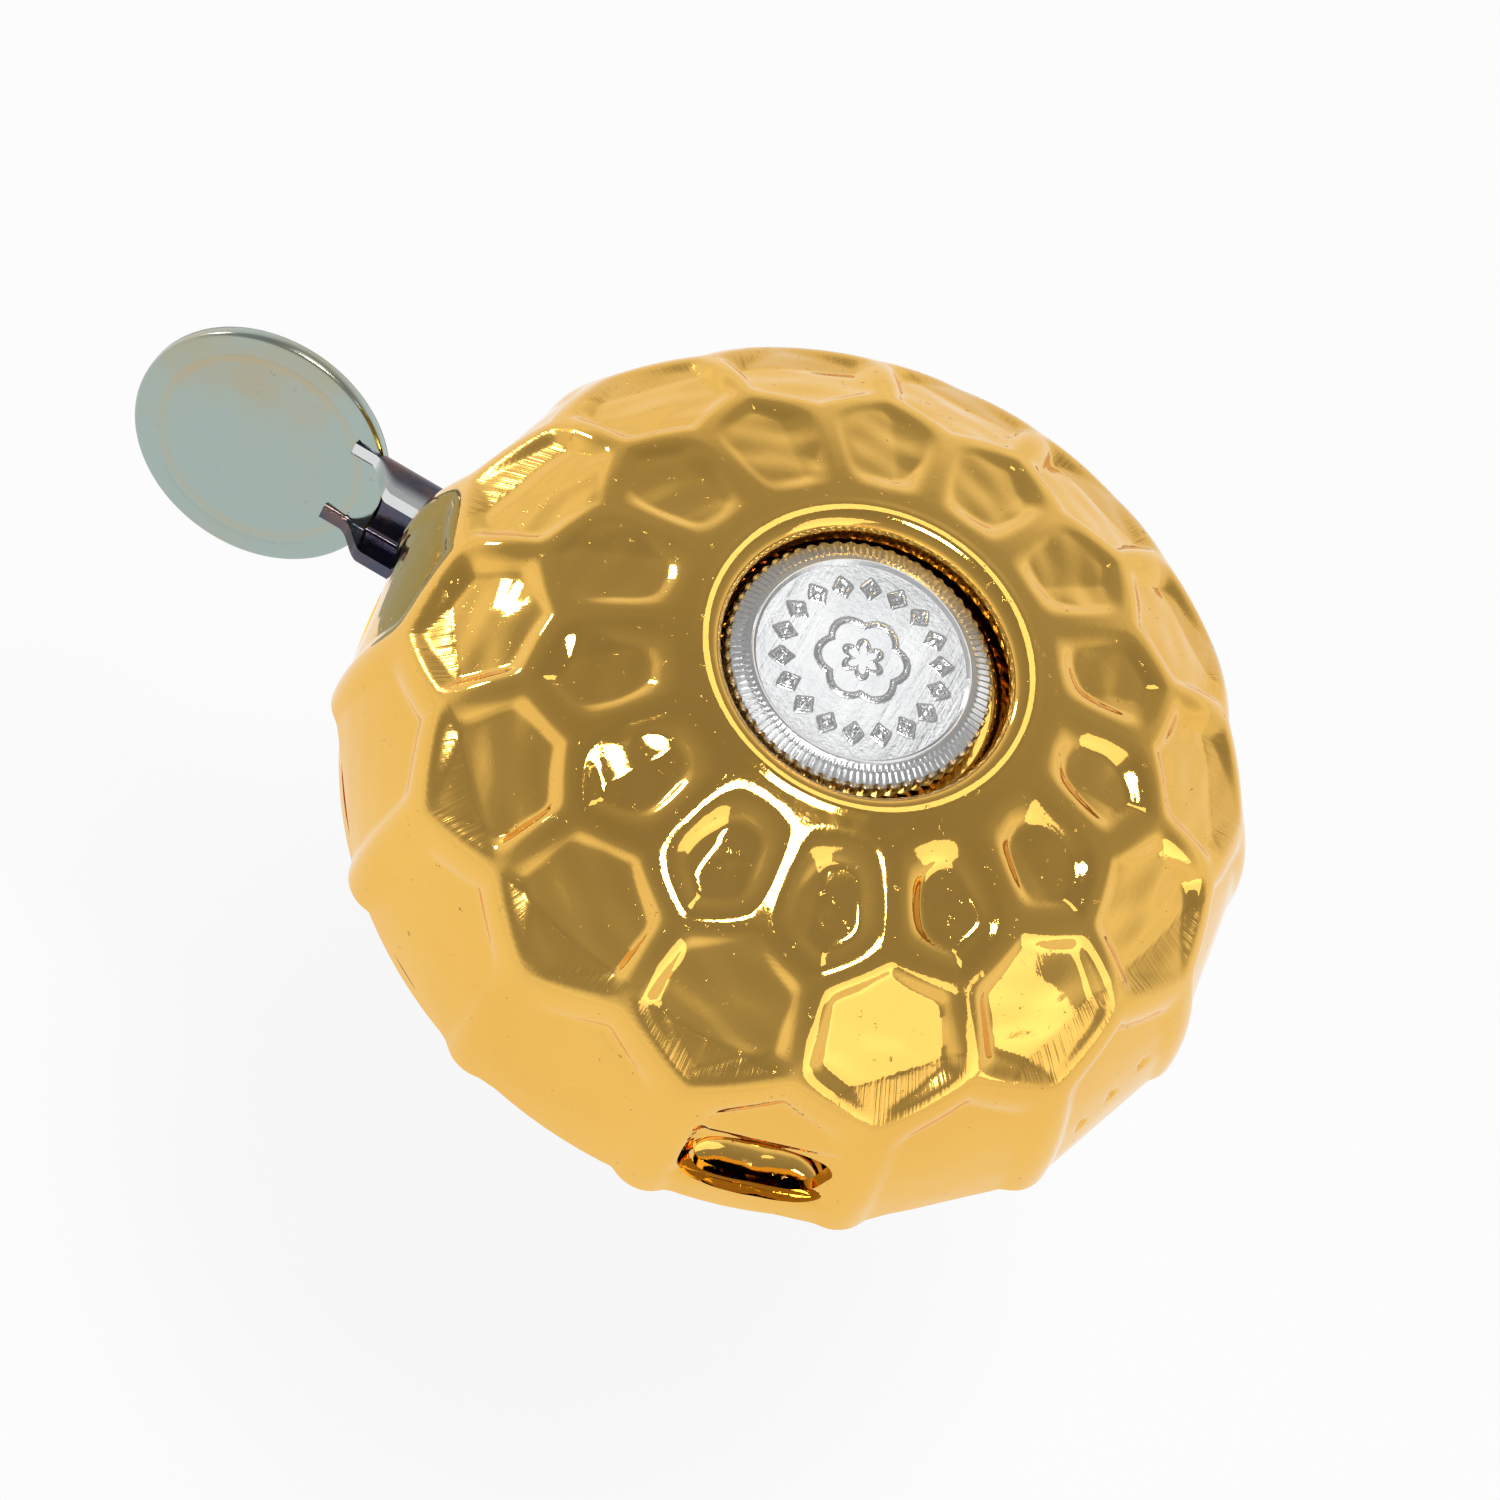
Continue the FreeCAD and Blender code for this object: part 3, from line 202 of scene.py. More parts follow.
def made_mesh(name, points, faces, material, crease=35.0, **carried):
    """A closed piece from points in millimetres: doubles merged, faces turned outwards, corners kept crisp.

    Numbers that the mesh carries are given one for each point.
    """
    mesh = bpy.data.meshes.new(name)
    mesh.from_pydata((points.reshape(-1, 3) * MM).tolist(), [], faces.tolist())
    for key, amounts in carried.items():
        kept = mesh.attributes.new(key, "FLOAT", "POINT")
        kept.data.foreach_set("value", np.asarray(amounts, np.float32).ravel())
    work = bmesh.new()
    work.from_mesh(mesh)
    bmesh.ops.remove_doubles(work, verts=work.verts, dist=1e-7)
    bmesh.ops.recalc_face_normals(work, faces=work.faces)
    work.to_mesh(mesh)
    work.free()
    mesh.shade_smooth()
    mesh.set_sharp_from_angle(angle=math.radians(crease))
    mesh.materials.append(material)
    piece = bpy.data.objects.new(name, mesh)
    bpy.context.scene.collection.objects.link(piece)
    return piece


def smooth(amount):
    """0 below 0, 1 above 1, and an S between."""
    amount = np.clip(amount, 0, 1)
    return amount * amount * (3 - 2 * amount)


def soft_over(amount, width):
    """The amount where it is over 0, and 0 where it is under, rounded over a width."""
    return 0.5 * (amount + np.sqrt(amount * amount + width * width))


def soft_least(first, second, width):
    """The smaller of two, rounded over a width."""
    return first - soft_over(first - second, width)


GONG_RADIUS = 29.8
GONG_WALL = 1.8
SIDE_ARC, SIDE_TURN = 21.9, math.radians(33)
SHOULDER_ARC = 11.0
CROWN_ARC, CROWN_TURN = 45.0, math.radians(60)
LIP_RADIUS, LIP_ARC, LIP_DROP = 11.1, 1.25, 0.9
WELL_RADIUS, WELL_FLOOR, WELL_FLOOR_THICKNESS = 9.25, 16.8, 1.5
WELL_WALL = 1.3
GONG_HOLE = 2.5
SIDE_RUN = SIDE_ARC * SIDE_TURN
SHOULDER_RUN = SIDE_RUN + SHOULDER_ARC * (CROWN_TURN - SIDE_TURN)
SIDE_X = GONG_RADIUS - SIDE_ARC
SHOULDER_X = SIDE_X + (SIDE_ARC - SHOULDER_ARC) * math.cos(SIDE_TURN)
SHOULDER_Z = (SIDE_ARC - SHOULDER_ARC) * math.sin(SIDE_TURN)
CROWN_X = SHOULDER_X + (SHOULDER_ARC - CROWN_ARC) * math.cos(CROWN_TURN)
CROWN_Z = SHOULDER_Z + (SHOULDER_ARC - CROWN_ARC) * math.sin(CROWN_TURN)


def skin(run, inset=0.0):
    """Radius, height and outward turn of the dome's smooth outline, a run up from its rim: three tangent
    arcs.
    """
    on_side = run < SIDE_RUN
    on_shoulder = run < SHOULDER_RUN
    turn = np.where(
        on_side,
        run / SIDE_ARC,
        np.where(
            on_shoulder,
            SIDE_TURN + (run - SIDE_RUN) / SHOULDER_ARC,
            CROWN_TURN + (run - SHOULDER_RUN) / CROWN_ARC,
        ),
    )
    arc = np.where(on_side, SIDE_ARC, np.where(on_shoulder, SHOULDER_ARC, CROWN_ARC)) - inset
    centre_x = np.where(on_side, SIDE_X, np.where(on_shoulder, SHOULDER_X, CROWN_X))
    centre_z = np.where(on_side, 0.0, np.where(on_shoulder, SHOULDER_Z, CROWN_Z))
    return centre_x + arc * np.cos(turn), centre_z + arc * np.sin(turn), turn


CELLS = 14
RIDGE_AZIMUTH = 20.3
CELL_TURN = 360 / CELLS
UPPER_RIDGE = (21.8, 19.6)
LOWER_RIDGE = (10.2, 13.6)
TOP_RUN = SHOULDER_RUN + CROWN_ARC * (math.acos((LIP_RADIUS - CROWN_X) / CROWN_ARC) - CROWN_TURN)
UPPER_LEAN, LOWER_LEAN = 0.9, 0.87
RIDGE_HALF = 0.1
DEEPEST = 310.0
HEX_RIDGE, SCOOP_RIDGE, SIDE_RIDGE = 0.5, 0.34, 0.22
LEAST_DEPTH, MOST_DEPTH = 0.1, 1.4
WAVE_DEPTH = 0.02
WAVES = ((0.4, 5.1), (1.9, 3.7), (2.8, 6.3), (1.2, 2.6))
PUNCHED = ((336.2, 3.5), (341.8, 4.1), (347.4, 4.7))
PUNCH_RADIUS, PUNCH_DEPTH = 0.5, 0.3
chance = np.random.default_rng(14)


def varied(which, spread):
    """A number for each cell of a row, different from cell to cell."""
    return chance.normal(0, spread, CELLS)[which]


def hammered(azimuth, run):
    """Depth of the hammered hollows under the smooth skin, in millimetres, and how brushed the metal is, which
    also sets how much painted shade darkens the gold there.

    Three rows of cells stand between zigzag ridges.  A hollow's floor is part of the way from the curved
    skin to a flat facet, tilted and creased a little differently in each cell, and the ridges round it are
    parabolas, sharper round the hexagons of the shoulder than round the scoops of the crown, which are
    deepest on one side. A punched mark is a round pit.
    """
    radius, height, turn = skin(run)
    cell = (azimuth - RIDGE_AZIMUTH) / CELL_TURN
    cell_width = radius * math.radians(CELL_TURN)
    from_middle = np.abs(cell - np.round(cell))
    upper = UPPER_RIDGE[0] + (UPPER_RIDGE[1] - UPPER_RIDGE[0]) * 2 * from_middle
    lower = LOWER_RIDGE[0] + (LOWER_RIDGE[1] - LOWER_RIDGE[0]) * 2 * from_middle
    to_upper = (run - upper) * UPPER_LEAN
    to_lower = (run - lower) * LOWER_LEAN
    to_ridge = from_middle * cell_width
    to_half_ridge = (0.5 - from_middle) * cell_width
    depth = np.zeros_like(radius)
    brushed = np.zeros_like(radius)
    for row, middle_run, half in (("crown", 25.2, 0.5), ("shoulder", 15.9, 0.0), ("side", 5.0, 0.5)):
        index = np.floor(cell - half + 0.5)
        which = index.astype(int) % CELLS
        x = (cell - half - index) * cell_width
        y = run - middle_run
        swing = (cell - half - index) * math.radians(CELL_TURN)
        centre_r, centre_z, centre_turn = skin(np.array(middle_run))
        out, up = radius * np.cos(swing) - centre_r, height - centre_z
        fall = out * np.cos(centre_turn) + up * np.sin(centre_turn)
        tilt = varied(which, 0.028) * x + varied(which, 0.02) * y + varied(which, 0.05)
        shift, lean = varied(which, 0.5), varied(which, 0.25)
        wave = sum(
            WAVE_DEPTH
            * np.sin(2 * math.pi * (x * math.cos(way) + y * math.sin(way)) / length + 7 * varied(which, 1))
            for way, length in WAVES
        )
        if row == "shoulder":
            inside = soft_least(soft_least(to_lower, -to_upper, 0.45), to_half_ridge, 0.45)
            below = soft_over(shift * 0.5 - 1.7 - y + lean * x, 0.08)
            side_crease = soft_over(x * 0.8 + y * 0.6 - 1.0 + shift, 0.2)
            floor = 1.05 + 0.72 * fall - 0.05 * y - 0.14 * below + 0.06 * side_crease
            # The lower part of each hexagon is brushed, and the same amount paints shade into the gold's colour
            # there.
            brushed += smooth(below / 0.35) * smooth(inside / 0.6)
            steep = HEX_RIDGE
        elif row == "crown":
            inside = soft_least(soft_least(to_upper, (TOP_RUN - 0.6 - run) * 0.8, 1.6), to_ridge, 1.0)
            valley = x + 0.9 + shift * 0.7 + lean * 0.5 * y
            pit = 0.2 * np.exp(-((x + 2.4) ** 2 / 0.9 + (y - 1.5 + shift) ** 2 / 1.8))
            worked = 0.76 + 0.24 * np.cos(np.radians(azimuth - DEEPEST))
            slopes = 0.2 * soft_over(-valley, 0.1) + 0.07 * soft_over(valley, 0.1)
            floor = 0.98 * worked + 0.9 * fall - slopes + pit
            steep = SCOOP_RIDGE
        else:
            inside = soft_least(-to_lower, to_ridge, 0.8)
            floor = 0.98 + (np.cos(swing) - 1) * radius
            tilt, wave = tilt * 0.5, wave * 0.3
            steep = SIDE_RIDGE
        floor = LEAST_DEPTH + soft_over(floor + tilt + wave - LEAST_DEPTH, 0.06)
        rolled = steep * np.maximum(inside - RIDGE_HALF, 0) ** 2
        depth += soft_least(rolled, soft_least(floor, MOST_DEPTH, 0.05), 0.05)
    for mark_azimuth, mark_run in PUNCHED:
        away = np.hypot((azimuth - mark_azimuth) * math.radians(GONG_RADIUS), run - mark_run)
        depth += PUNCH_DEPTH * smooth((PUNCH_RADIUS - away) / 0.3)
    return depth, brushed


# Slot in the side of the gong, low over the rim.  Its tongue of metal is pushed inwards, for the strikers
# to hit.
SLOT_AZIMUTH = 290.5
SLOT_WIDTH = 9.4
SLOT_LOW, SLOT_HIGH = 2.7, 6.9
AROUND = 14 * 38
OUTER_ROWS = 109
step = 360 / AROUND
azimuth = SLOT_AZIMUTH + step * np.arange(AROUND)
half_slot = round(math.degrees(SLOT_WIDTH / 2 / GONG_RADIUS) / step)
outer_run = np.linspace(0, TOP_RUN, OUTER_ROWS)
slot_rows = [int(np.argmin(np.abs(outer_run - level))) for level in (SLOT_LOW, SLOT_HIGH)]
column = (np.arange(AROUND) + AROUND // 2) % AROUND - AROUND // 2


def slot_warp(across, up):
    """Moves a point of the unrolled skin near the slot, so that the slot's square outline becomes a torn
    lens.

    Both are in halves of the slot's size.  A square ring round the slot is drawn in to the outline, and
    rings further out less and less.
    """
    reach = np.maximum(np.maximum(np.abs(across), np.abs(up)), 1e-6)
    angle = np.arctan2(up, across)
    square = 1 / np.maximum(np.abs(np.cos(angle)), np.abs(np.sin(angle)))
    oval = (np.abs(np.cos(angle)) ** 3.2 + np.abs(np.sin(angle)) ** 2.6) ** (-1 / 2.9)
    wanted = oval / square * (1 + 0.035 * np.sin(3 * angle + 1.0) + 0.03 * np.sin(5 * angle))
    share = 1 + (wanted - 1) * smooth((3.2 - reach) / 2.2)
    return across * share, up * share


def round_piece(radius, height, angle):
    """Points at a radius and height round the gong's axis, in degrees."""
    angle = np.radians(angle)
    out = radius * np.cos(angle)
    return np.stack([GONG_SHIFT + out, radius * np.sin(angle), RIM_HEIGHT + height + 0 * out], -1)


middle_up = (outer_run[slot_rows[0]] + outer_run[slot_rows[1]]) / 2
half_up = (outer_run[slot_rows[1]] - outer_run[slot_rows[0]]) / 2
run_grid, column_grid = np.meshgrid(outer_run, column.astype(float), indexing="ij")
across, up = slot_warp(column_grid / half_slot, (run_grid - middle_up) / half_up)
warped_azimuth = SLOT_AZIMUTH + across * half_slot * step
warped_run = np.maximum(middle_up + up * half_up, 0)
depth, brushed = hammered(warped_azimuth, warped_run)
skin_r, skin_z, skin_turn = skin(warped_run)
beside = np.maximum(np.abs(across) - 1, 0) * SLOT_WIDTH / 2
above = np.maximum(np.abs(up) - 1, 0) * half_up
rolled_in = 0.35 * np.exp(-((np.hypot(beside, above) / 0.45) ** 2))
sunk = depth + rolled_in
outer = round_piece(skin_r - sunk * np.cos(skin_turn), skin_z - sunk * np.sin(skin_turn), warped_azimuth)

# The lip round the well is an arc from the crown's edge down to the well's wall, which a fillet joins to
# the floor.
crown_edge = np.array([LIP_RADIUS, CROWN_Z + math.sqrt(CROWN_ARC**2 - (LIP_RADIUS - CROWN_X) ** 2)])
well_edge = np.array([WELL_RADIUS, crown_edge[1] - LIP_DROP])
chord = well_edge - crown_edge
length = math.hypot(*chord)
lip_centre = (crown_edge + well_edge) / 2 + np.array([-chord[1], chord[0]]) / length * math.sqrt(
    LIP_ARC**2 - length**2 / 4
)
lip_from = math.atan2(*(crown_edge - lip_centre)[::-1])
lip_to = math.atan2(*(well_edge - lip_centre)[::-1])
lip_turn = np.linspace(lip_from, lip_to, 12)[1:]
WELL_FILLET = 0.5
fillet = np.linspace(0, math.pi / 2, 5)
well_low = WELL_FLOOR - WELL_FLOOR_THICKNESS
well_out = WELL_RADIUS + WELL_WALL
well_r = np.concatenate(
    [
        lip_centre[0] + LIP_ARC * np.cos(lip_turn),
        WELL_RADIUS - WELL_FILLET + WELL_FILLET * np.cos(fillet),
        [6.0, GONG_HOLE, GONG_HOLE, 6.0, well_out - 0.4, well_out],
    ]
)
well_z = np.concatenate(
    [
        lip_centre[1] + LIP_ARC * np.sin(lip_turn),
        WELL_FLOOR + WELL_FILLET - WELL_FILLET * np.sin(fillet),
        [WELL_FLOOR, WELL_FLOOR, well_low, well_low, well_low, well_low + 0.4],
    ]
)
well_z = np.minimum(well_z, gong_high[2] - RIM_HEIGHT)
well = round_piece(well_r[:, None], well_z[:, None], azimuth[None, :])
slot_top = slot_rows[1] + 4
upper_rows = np.linspace(TOP_RUN - 1.2, outer_run[slot_top] + 1.5, 9)
inner_run = np.concatenate([np.repeat(upper_rows[:, None], AROUND, 1), warped_run[slot_top::-1]])
upper_azimuth = np.repeat(azimuth[None, :], len(upper_rows), 0)
inner_azimuth = np.concatenate([upper_azimuth, warped_azimuth[slot_top::-1]])
inner_r, inner_z, _ = skin(inner_run, GONG_WALL)
inner = round_piece(inner_r, inner_z, inner_azimuth)
edge = (outer[:1] + inner[-1:]) / 2 - np.array([0, 0, 0.12])
gong_points = np.concatenate([outer, well, inner, edge])
gong_rows = len(gong_points)
gong_faces = grid_faces(gong_rows, AROUND, rows_close=True)

# The slot goes through: faces inside its outline are left out of both skins, and a wall joins their edges.
face_row = gong_faces[:, 0] // AROUND
face_column = column[gong_faces[:, 0] % AROUND]
last_inner = gong_rows - 2
first_inner = last_inner - slot_rows[1]
in_outer = (face_row >= slot_rows[0]) & (face_row < slot_rows[1])
in_inner = (face_row >= first_inner) & (face_row < last_inner - slot_rows[0])
in_slot = (face_column >= -half_slot) & (face_column < half_slot)
gong_faces = gong_faces[~((in_outer | in_inner) & in_slot)]


def slot_wall(rows, columns, next_rows, next_columns):
    """Quads from the outer skin's slot edge to the inner skin's, whose rows run the other way."""
    corners = [(rows, columns), (next_rows, next_columns)]
    corners += [(last_inner - next_rows, next_columns), (last_inner - rows, columns)]
    return np.stack([row * AROUND + column for row, column in corners], -1)


across_slot = np.arange(-half_slot, half_slot)
up_slot = np.arange(slot_rows[0], slot_rows[1])
walls = [
    slot_wall(row + 0 * across_slot, across_slot % AROUND, row + 0 * across_slot, (across_slot + 1) % AROUND)
    for row in slot_rows
]
walls += [
    slot_wall(up_slot, side % AROUND + 0 * up_slot, up_slot + 1, side % AROUND + 0 * up_slot)
    for side in (-half_slot, half_slot)
]
# The tongue is bent in from the slot's low edge and turned up, with a ragged top edge, and narrows to its
# ends.
TANG_ROOT = 28.6
tang_front_r, tang_back_r = [29.3, 28.9, 28.0, 27.0, 26.3, 25.95, 25.9, 25.9], [25.4, 25.35, 25.32, 25.32]
tang_front_z, tang_back_z = [2.75, 2.5, 2.35, 2.45, 2.8, 3.4, 4.1, 4.75], [4.7, 4.0, 3.2, 2.6]
tang_r = np.array([*tang_front_r, *tang_back_r, 25.6, 26.3, 27.4, 28.2])
tang_z = np.array([*tang_front_z, *tang_back_z, 1.95, 1.6, 1.5, 1.55])
side_way = np.linspace(-1, 1, 41)
ragged = 0.25 * np.sin(side_way * 7 + 0.6) + 0.12 * np.sin(side_way * 17)
full = np.sqrt(1 - side_way**4)
share_up = np.clip((tang_z - 2.4) / 2.3, 0, 1)[:, None]
tang_z_grid = tang_z.mean() + full * (tang_z[:, None] + share_up * ragged - tang_z.mean())
tang_r_grid = TANG_ROOT + full * (tang_r[:, None] - TANG_ROOT)
tang_angle = SLOT_AZIMUTH + side_way * math.degrees(SLOT_WIDTH / 2 / TANG_ROOT)
tang = round_piece(tang_r_grid, tang_z_grid, tang_angle)


def gathered(*shells):
    """Several shells as one: their points in a row, and their faces counted on."""
    points, faces, count = [], [], 0
    for shell_points, shell_faces in shells:
        points.append(shell_points.reshape(-1, 3))
        faces.append(shell_faces + count)
        count += len(points[-1])
    return np.concatenate(points), np.concatenate(faces)


all_points, all_faces = gathered(
    (gong_points, np.concatenate([gong_faces, *walls])),
    (tang, grid_faces(len(tang_r), len(side_way), rows_close=True, columns_close=False)),
)
brushed_and_shade_amount = np.zeros(len(all_points))
brushed_and_shade_amount[: brushed.size] = brushed.ravel()

# Gold plate: bright, with a warmer and a paler tone in patches, fine pits, a light haze, and hatching of fine
# lines down the brushed facets, whose colour is also painted darker as painted shade.
gold = Shader("gold_plate", (0.88, 0.52, 0.11), 0.1)
tone = gold.noise(95.0, 3.0)
flat_place = gold.node("ShaderNodeVectorMath", {"operation": "MULTIPLY"}, {0: gold.place, 1: (1, 1, 0)})
way_round = gold.node("ShaderNodeVectorMath", {"operation": "NORMALIZE"}, {0: flat_place})
hatching = gold.noise(75.0, 2.0, 0.6, place=way_round)
brush_lines = gold.noise(1500.0, 2.0, 0.6, stretch=(1.0, 0.12, 0.3))
pits = gold.ramp(gold.noise(1700.0, 3.0, 0.7), 0.66, 0.76)
haze = gold.ramp(gold.noise(340.0, 4.0, 0.65), 0.5, 0.75)
brushed_and_shade_part = gold.attribute("brushed")
plate = gold.mixed(tone, (0.84, 0.47, 0.09), (0.92, 0.56, 0.13))
plate = gold.mixed(pits * 0.6, plate, (0.40, 0.20, 0.05))
# The darker gold mixed in on the brushed lower facets is painted shade; the hatching and roughness there are the
# real brushing.
gold.feed(Base_Color=gold.mixed(brushed_and_shade_part * 0.3, plate, (0.60, 0.34, 0.08)))
gold.feed(Roughness=0.05 + haze * 0.07 + brushed_and_shade_part * 0.16 + pits * 0.25)
uneven = gold.noise(420.0, 4.0, 0.6) * 0.35 + brush_lines * 0.1 - pits * 0.4
gold.bump(uneven + hatching * (0.05 + brushed_and_shade_part * 0.9), 0.00006)

gong = made_mesh("hammered_gong", all_points, all_faces, gold.material, 40.0, brushed=brushed_and_shade_amount)
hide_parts("gong_dome")
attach(gong, "mount")


# Cap nut: bright turned aluminium, with a toothed edge, a reeded bevel and a brushed, slightly domed face.
# A stamped rosette and a ring of lozenges decorate the face inside a thin raised ring.  It screws down on
# the spindle.
NUT_RADIUS, NUT_LOW, NUT_HIGH = 8.6, 17.4, 19.5
NUT_BEVEL, NUT_BEVEL_DROP = 1.3, 0.55
FACE_RADIUS, FACE_DROP, RING_RADIUS = 6.75, 0.3, 6.95
TEETH = 60
NUT_AROUND = TEETH * 8


def stamped(radius, angle):
    """Height of the stamped pattern over the nut's face: raised outlines of a rosette and of a ring of
    lozenges.

    A line is a narrow bell curve of the distance to its middle.
    """
    petals = 2.35 + 0.5 * np.abs(np.cos(3 * (angle - 0.4)))
    rosette = np.exp(-(((radius - petals) / 0.11) ** 2))
    star = 0.7 + 0.55 * np.abs(np.sin(3 * (angle - 0.4)))
    rosette += 0.8 * np.exp(-(((radius - star) / 0.1) ** 2))
    turn = (angle * 9 / math.pi) % 1 - 0.5
    lozenge = np.abs(turn) * math.pi * 5.1 / 9 / 0.62 + np.abs(radius - 5.1) / 0.72
    ring = np.exp(-(((lozenge - 0.85) / 0.17) ** 2)) + 0.6 * (lozenge < 0.35)
    return np.clip(rosette + np.where(np.abs(radius - 5.1) < 1.1, ring, 0), 0, 1)


nut_angle = np.linspace(0, 2 * math.pi, NUT_AROUND, endpoint=False)
bevel_inner = NUT_RADIUS - NUT_BEVEL
bevel_r = np.linspace(NUT_RADIUS - 0.25, bevel_inner, 7)
face_r = np.linspace(FACE_RADIUS, 0, 66)
ring_r = [RING_RADIUS + 0.16, RING_RADIUS + 0.08, RING_RADIUS, RING_RADIUS - 0.08]
side_r = [0, NUT_RADIUS - 0.3, NUT_RADIUS, NUT_RADIUS, NUT_RADIUS - 0.1]
nut_r = np.concatenate([side_r, bevel_r, ring_r, face_r])
bevel_z = np.linspace(NUT_HIGH - NUT_BEVEL_DROP + 0.1, NUT_HIGH - 0.14, 7)
ring_z = [NUT_HIGH - 0.13, NUT_HIGH - 0.03, NUT_HIGH - 0.03, NUT_HIGH - 0.13]
face_z = NUT_HIGH - 0.16 - FACE_DROP * ((face_r / FACE_RADIUS) ** 2 - 0.55)
side_z = [NUT_LOW, NUT_LOW, NUT_LOW + 0.25, NUT_HIGH - NUT_BEVEL_DROP - 0.15, NUT_HIGH - NUT_BEVEL_DROP]
nut_z = np.concatenate([side_z, bevel_z, ring_z, face_z])
tooth = 0.5 + 0.5 * np.cos(TEETH * nut_angle)
reed = 0.5 + 0.5 * np.cos(2 * TEETH * nut_angle)
over_base = nut_z > NUT_LOW
teeth_in = 0.24 * smooth((nut_r - NUT_RADIUS + 0.3) / 0.25) * over_base
reeds_in = 0.17 * smooth((nut_r - bevel_inner) / 0.2) * smooth((NUT_RADIUS - nut_r) / 0.1)
nut_r_grid = nut_r[:, None] - teeth_in[:, None] * (1 - tooth**0.6)
on_face = (nut_r[:, None] < FACE_RADIUS - 0.05) & over_base[:, None]
pattern = np.where(on_face, stamped(nut_r[:, None], nut_angle), 0)
nut_z_grid = nut_z[:, None] - reeds_in[:, None] * (1 - reed) + 0.13 * pattern
nut_points = np.stack(
    [nut_r_grid * np.cos(nut_angle), nut_r_grid * np.sin(nut_angle), RIM_HEIGHT + nut_z_grid], -1
)
nut_metal = Shader("turned_aluminium", (0.74, 0.75, 0.77), 0.25)
brushing = nut_metal.noise(1300.0, 3.0, 0.7, stretch=(1.0, 0.05, 1.0))
grains = nut_metal.noise(2600.0, 2.0, 0.6)
on_bevel = nut_metal.attribute("on_bevel")
face_tone = nut_metal.mixed(nut_metal.noise(300.0), (0.56, 0.57, 0.58), (0.78, 0.78, 0.78))
nut_metal.feed(Base_Color=nut_metal.mixed(on_bevel, face_tone, (0.66, 0.67, 0.67)))
nut_metal.feed(Roughness=0.14 + brushing * 0.2 + on_bevel * 0.06)
nut_metal.bump(brushing * 0.8 + grains * 0.5, 0.00004)
nut_faces = grid_faces(len(nut_points), NUT_AROUND)
turned_band = np.repeat(((nut_r > FACE_RADIUS) & over_base)[:, None], NUT_AROUND, 1)
cap_nut = made_mesh("toothed_cap_nut", nut_points, nut_faces, nut_metal.material, 50.0, on_bevel=turned_band)
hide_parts("cap_nut")
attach(cap_nut, "mount")


# Thumb pad: a chromed disc with a shallow dish, a turned groove near its edge and a rolled skirt.  It is
# closed over the round plate at the end of the lever, and leans back with it.
PAD_PLACE = np.array([-40.6, 6.4, -6.0 + RIM_HEIGHT])
PAD_LEAN = math.radians(17.6)
PAD_RADIUS, PAD_PLATE, PAD_SKIRT = 8.8, 0.6, 0.4
DISH_RADIUS, DISH_DEPTH = 7.4, 0.35
ROLLED = 0.3
PAD_AROUND = 160


def leaned(points):
    """Turns points about the pad's centre, drawn with the pad upright and facing -Y, to where the pad leans
    back.
    """
    x, y, z = np.moveaxis(np.asarray(points, float), -1, 0)
    back = y * math.cos(PAD_LEAN) + z * math.sin(PAD_LEAN)
    high = z * math.cos(PAD_LEAN) - y * math.sin(PAD_LEAN)
    return PAD_PLACE + np.stack([x, back, high], -1)


def on_pad_axis(radius, back):
    """Rings about the pad's axis, at radii and at depths from its front."""
    turn = np.linspace(0, 2 * math.pi, PAD_AROUND, endpoint=False)
    radius, back = np.asarray(radius)[:, None], np.asarray(back)[:, None]
    return leaned(np.stack([radius * np.cos(turn), back + 0 * turn, radius * np.sin(turn)], -1))


dish_r = np.linspace(0, DISH_RADIUS - 0.45, 26)
groove_r = DISH_RADIUS + np.array([-0.3, -0.18, -0.06, 0.06, 0.25])
roll = np.linspace(0, math.pi / 2, 7)
rolled_r = PAD_RADIUS - ROLLED + ROLLED * np.sin(roll)
skirt_r = [PAD_RADIUS, PAD_RADIUS - 0.1, PAD_RADIUS - 0.7, PAD_RADIUS - 0.8, PAD_RADIUS - 0.8, 0]
pad_r = np.concatenate([dish_r, groove_r, rolled_r, skirt_r])
dish_back = DISH_DEPTH * (1 - (dish_r / DISH_RADIUS) ** 2) + 0.02
groove_back = [0.05, 0.09, 0.09, 0.05, 0.02]
skirt_end = PAD_PLATE + PAD_SKIRT
skirt_back = [skirt_end - 0.12, skirt_end, skirt_end, 0.9, PAD_PLATE, PAD_PLATE]
pad_back = np.concatenate([dish_back, groove_back, ROLLED - ROLLED * np.cos(roll), skirt_back])
pad_points = on_pad_axis(pad_r, pad_back)
# The chrome's blue-green tint is a painted reflection; the warm patches and the ring by the groove are stains.
chrome = Shader("worn_chrome_painted_reflection", (0.50, 0.60, 0.62), 0.12)
stain = chrome.ramp(chrome.noise(90.0, 4.0, 0.6), 0.42, 0.72)
painted_reflection_patches = chrome.noise(45.0, 3.0)
tarnish_and_reflection = chrome.mixed(stain, (0.37, 0.45, 0.41), (0.45, 0.40, 0.26))
tarnish_and_reflection = chrome.mixed(painted_reflection_patches * 0.5, tarnish_and_reflection, (0.41, 0.49, 0.47))
from_ring = chrome.attribute("from_ring")
ring_stain = chrome.ramp(from_ring, 0.55, 1.0) * (0.3 + stain * 0.5)
chrome.feed(Base_Color=chrome.mixed(ring_stain, tarnish_and_reflection, (0.50, 0.41, 0.25)))
wipes = chrome.noise(900.0, 3.0, 0.6, stretch=(0.2, 1.0, 1.0))
specks = chrome.ramp(chrome.noise(2100.0, 2.0, 0.6), 0.7, 0.78)
chrome.feed(Roughness=0.1 + stain * 0.12 + wipes * 0.08 + specks * 0.2)
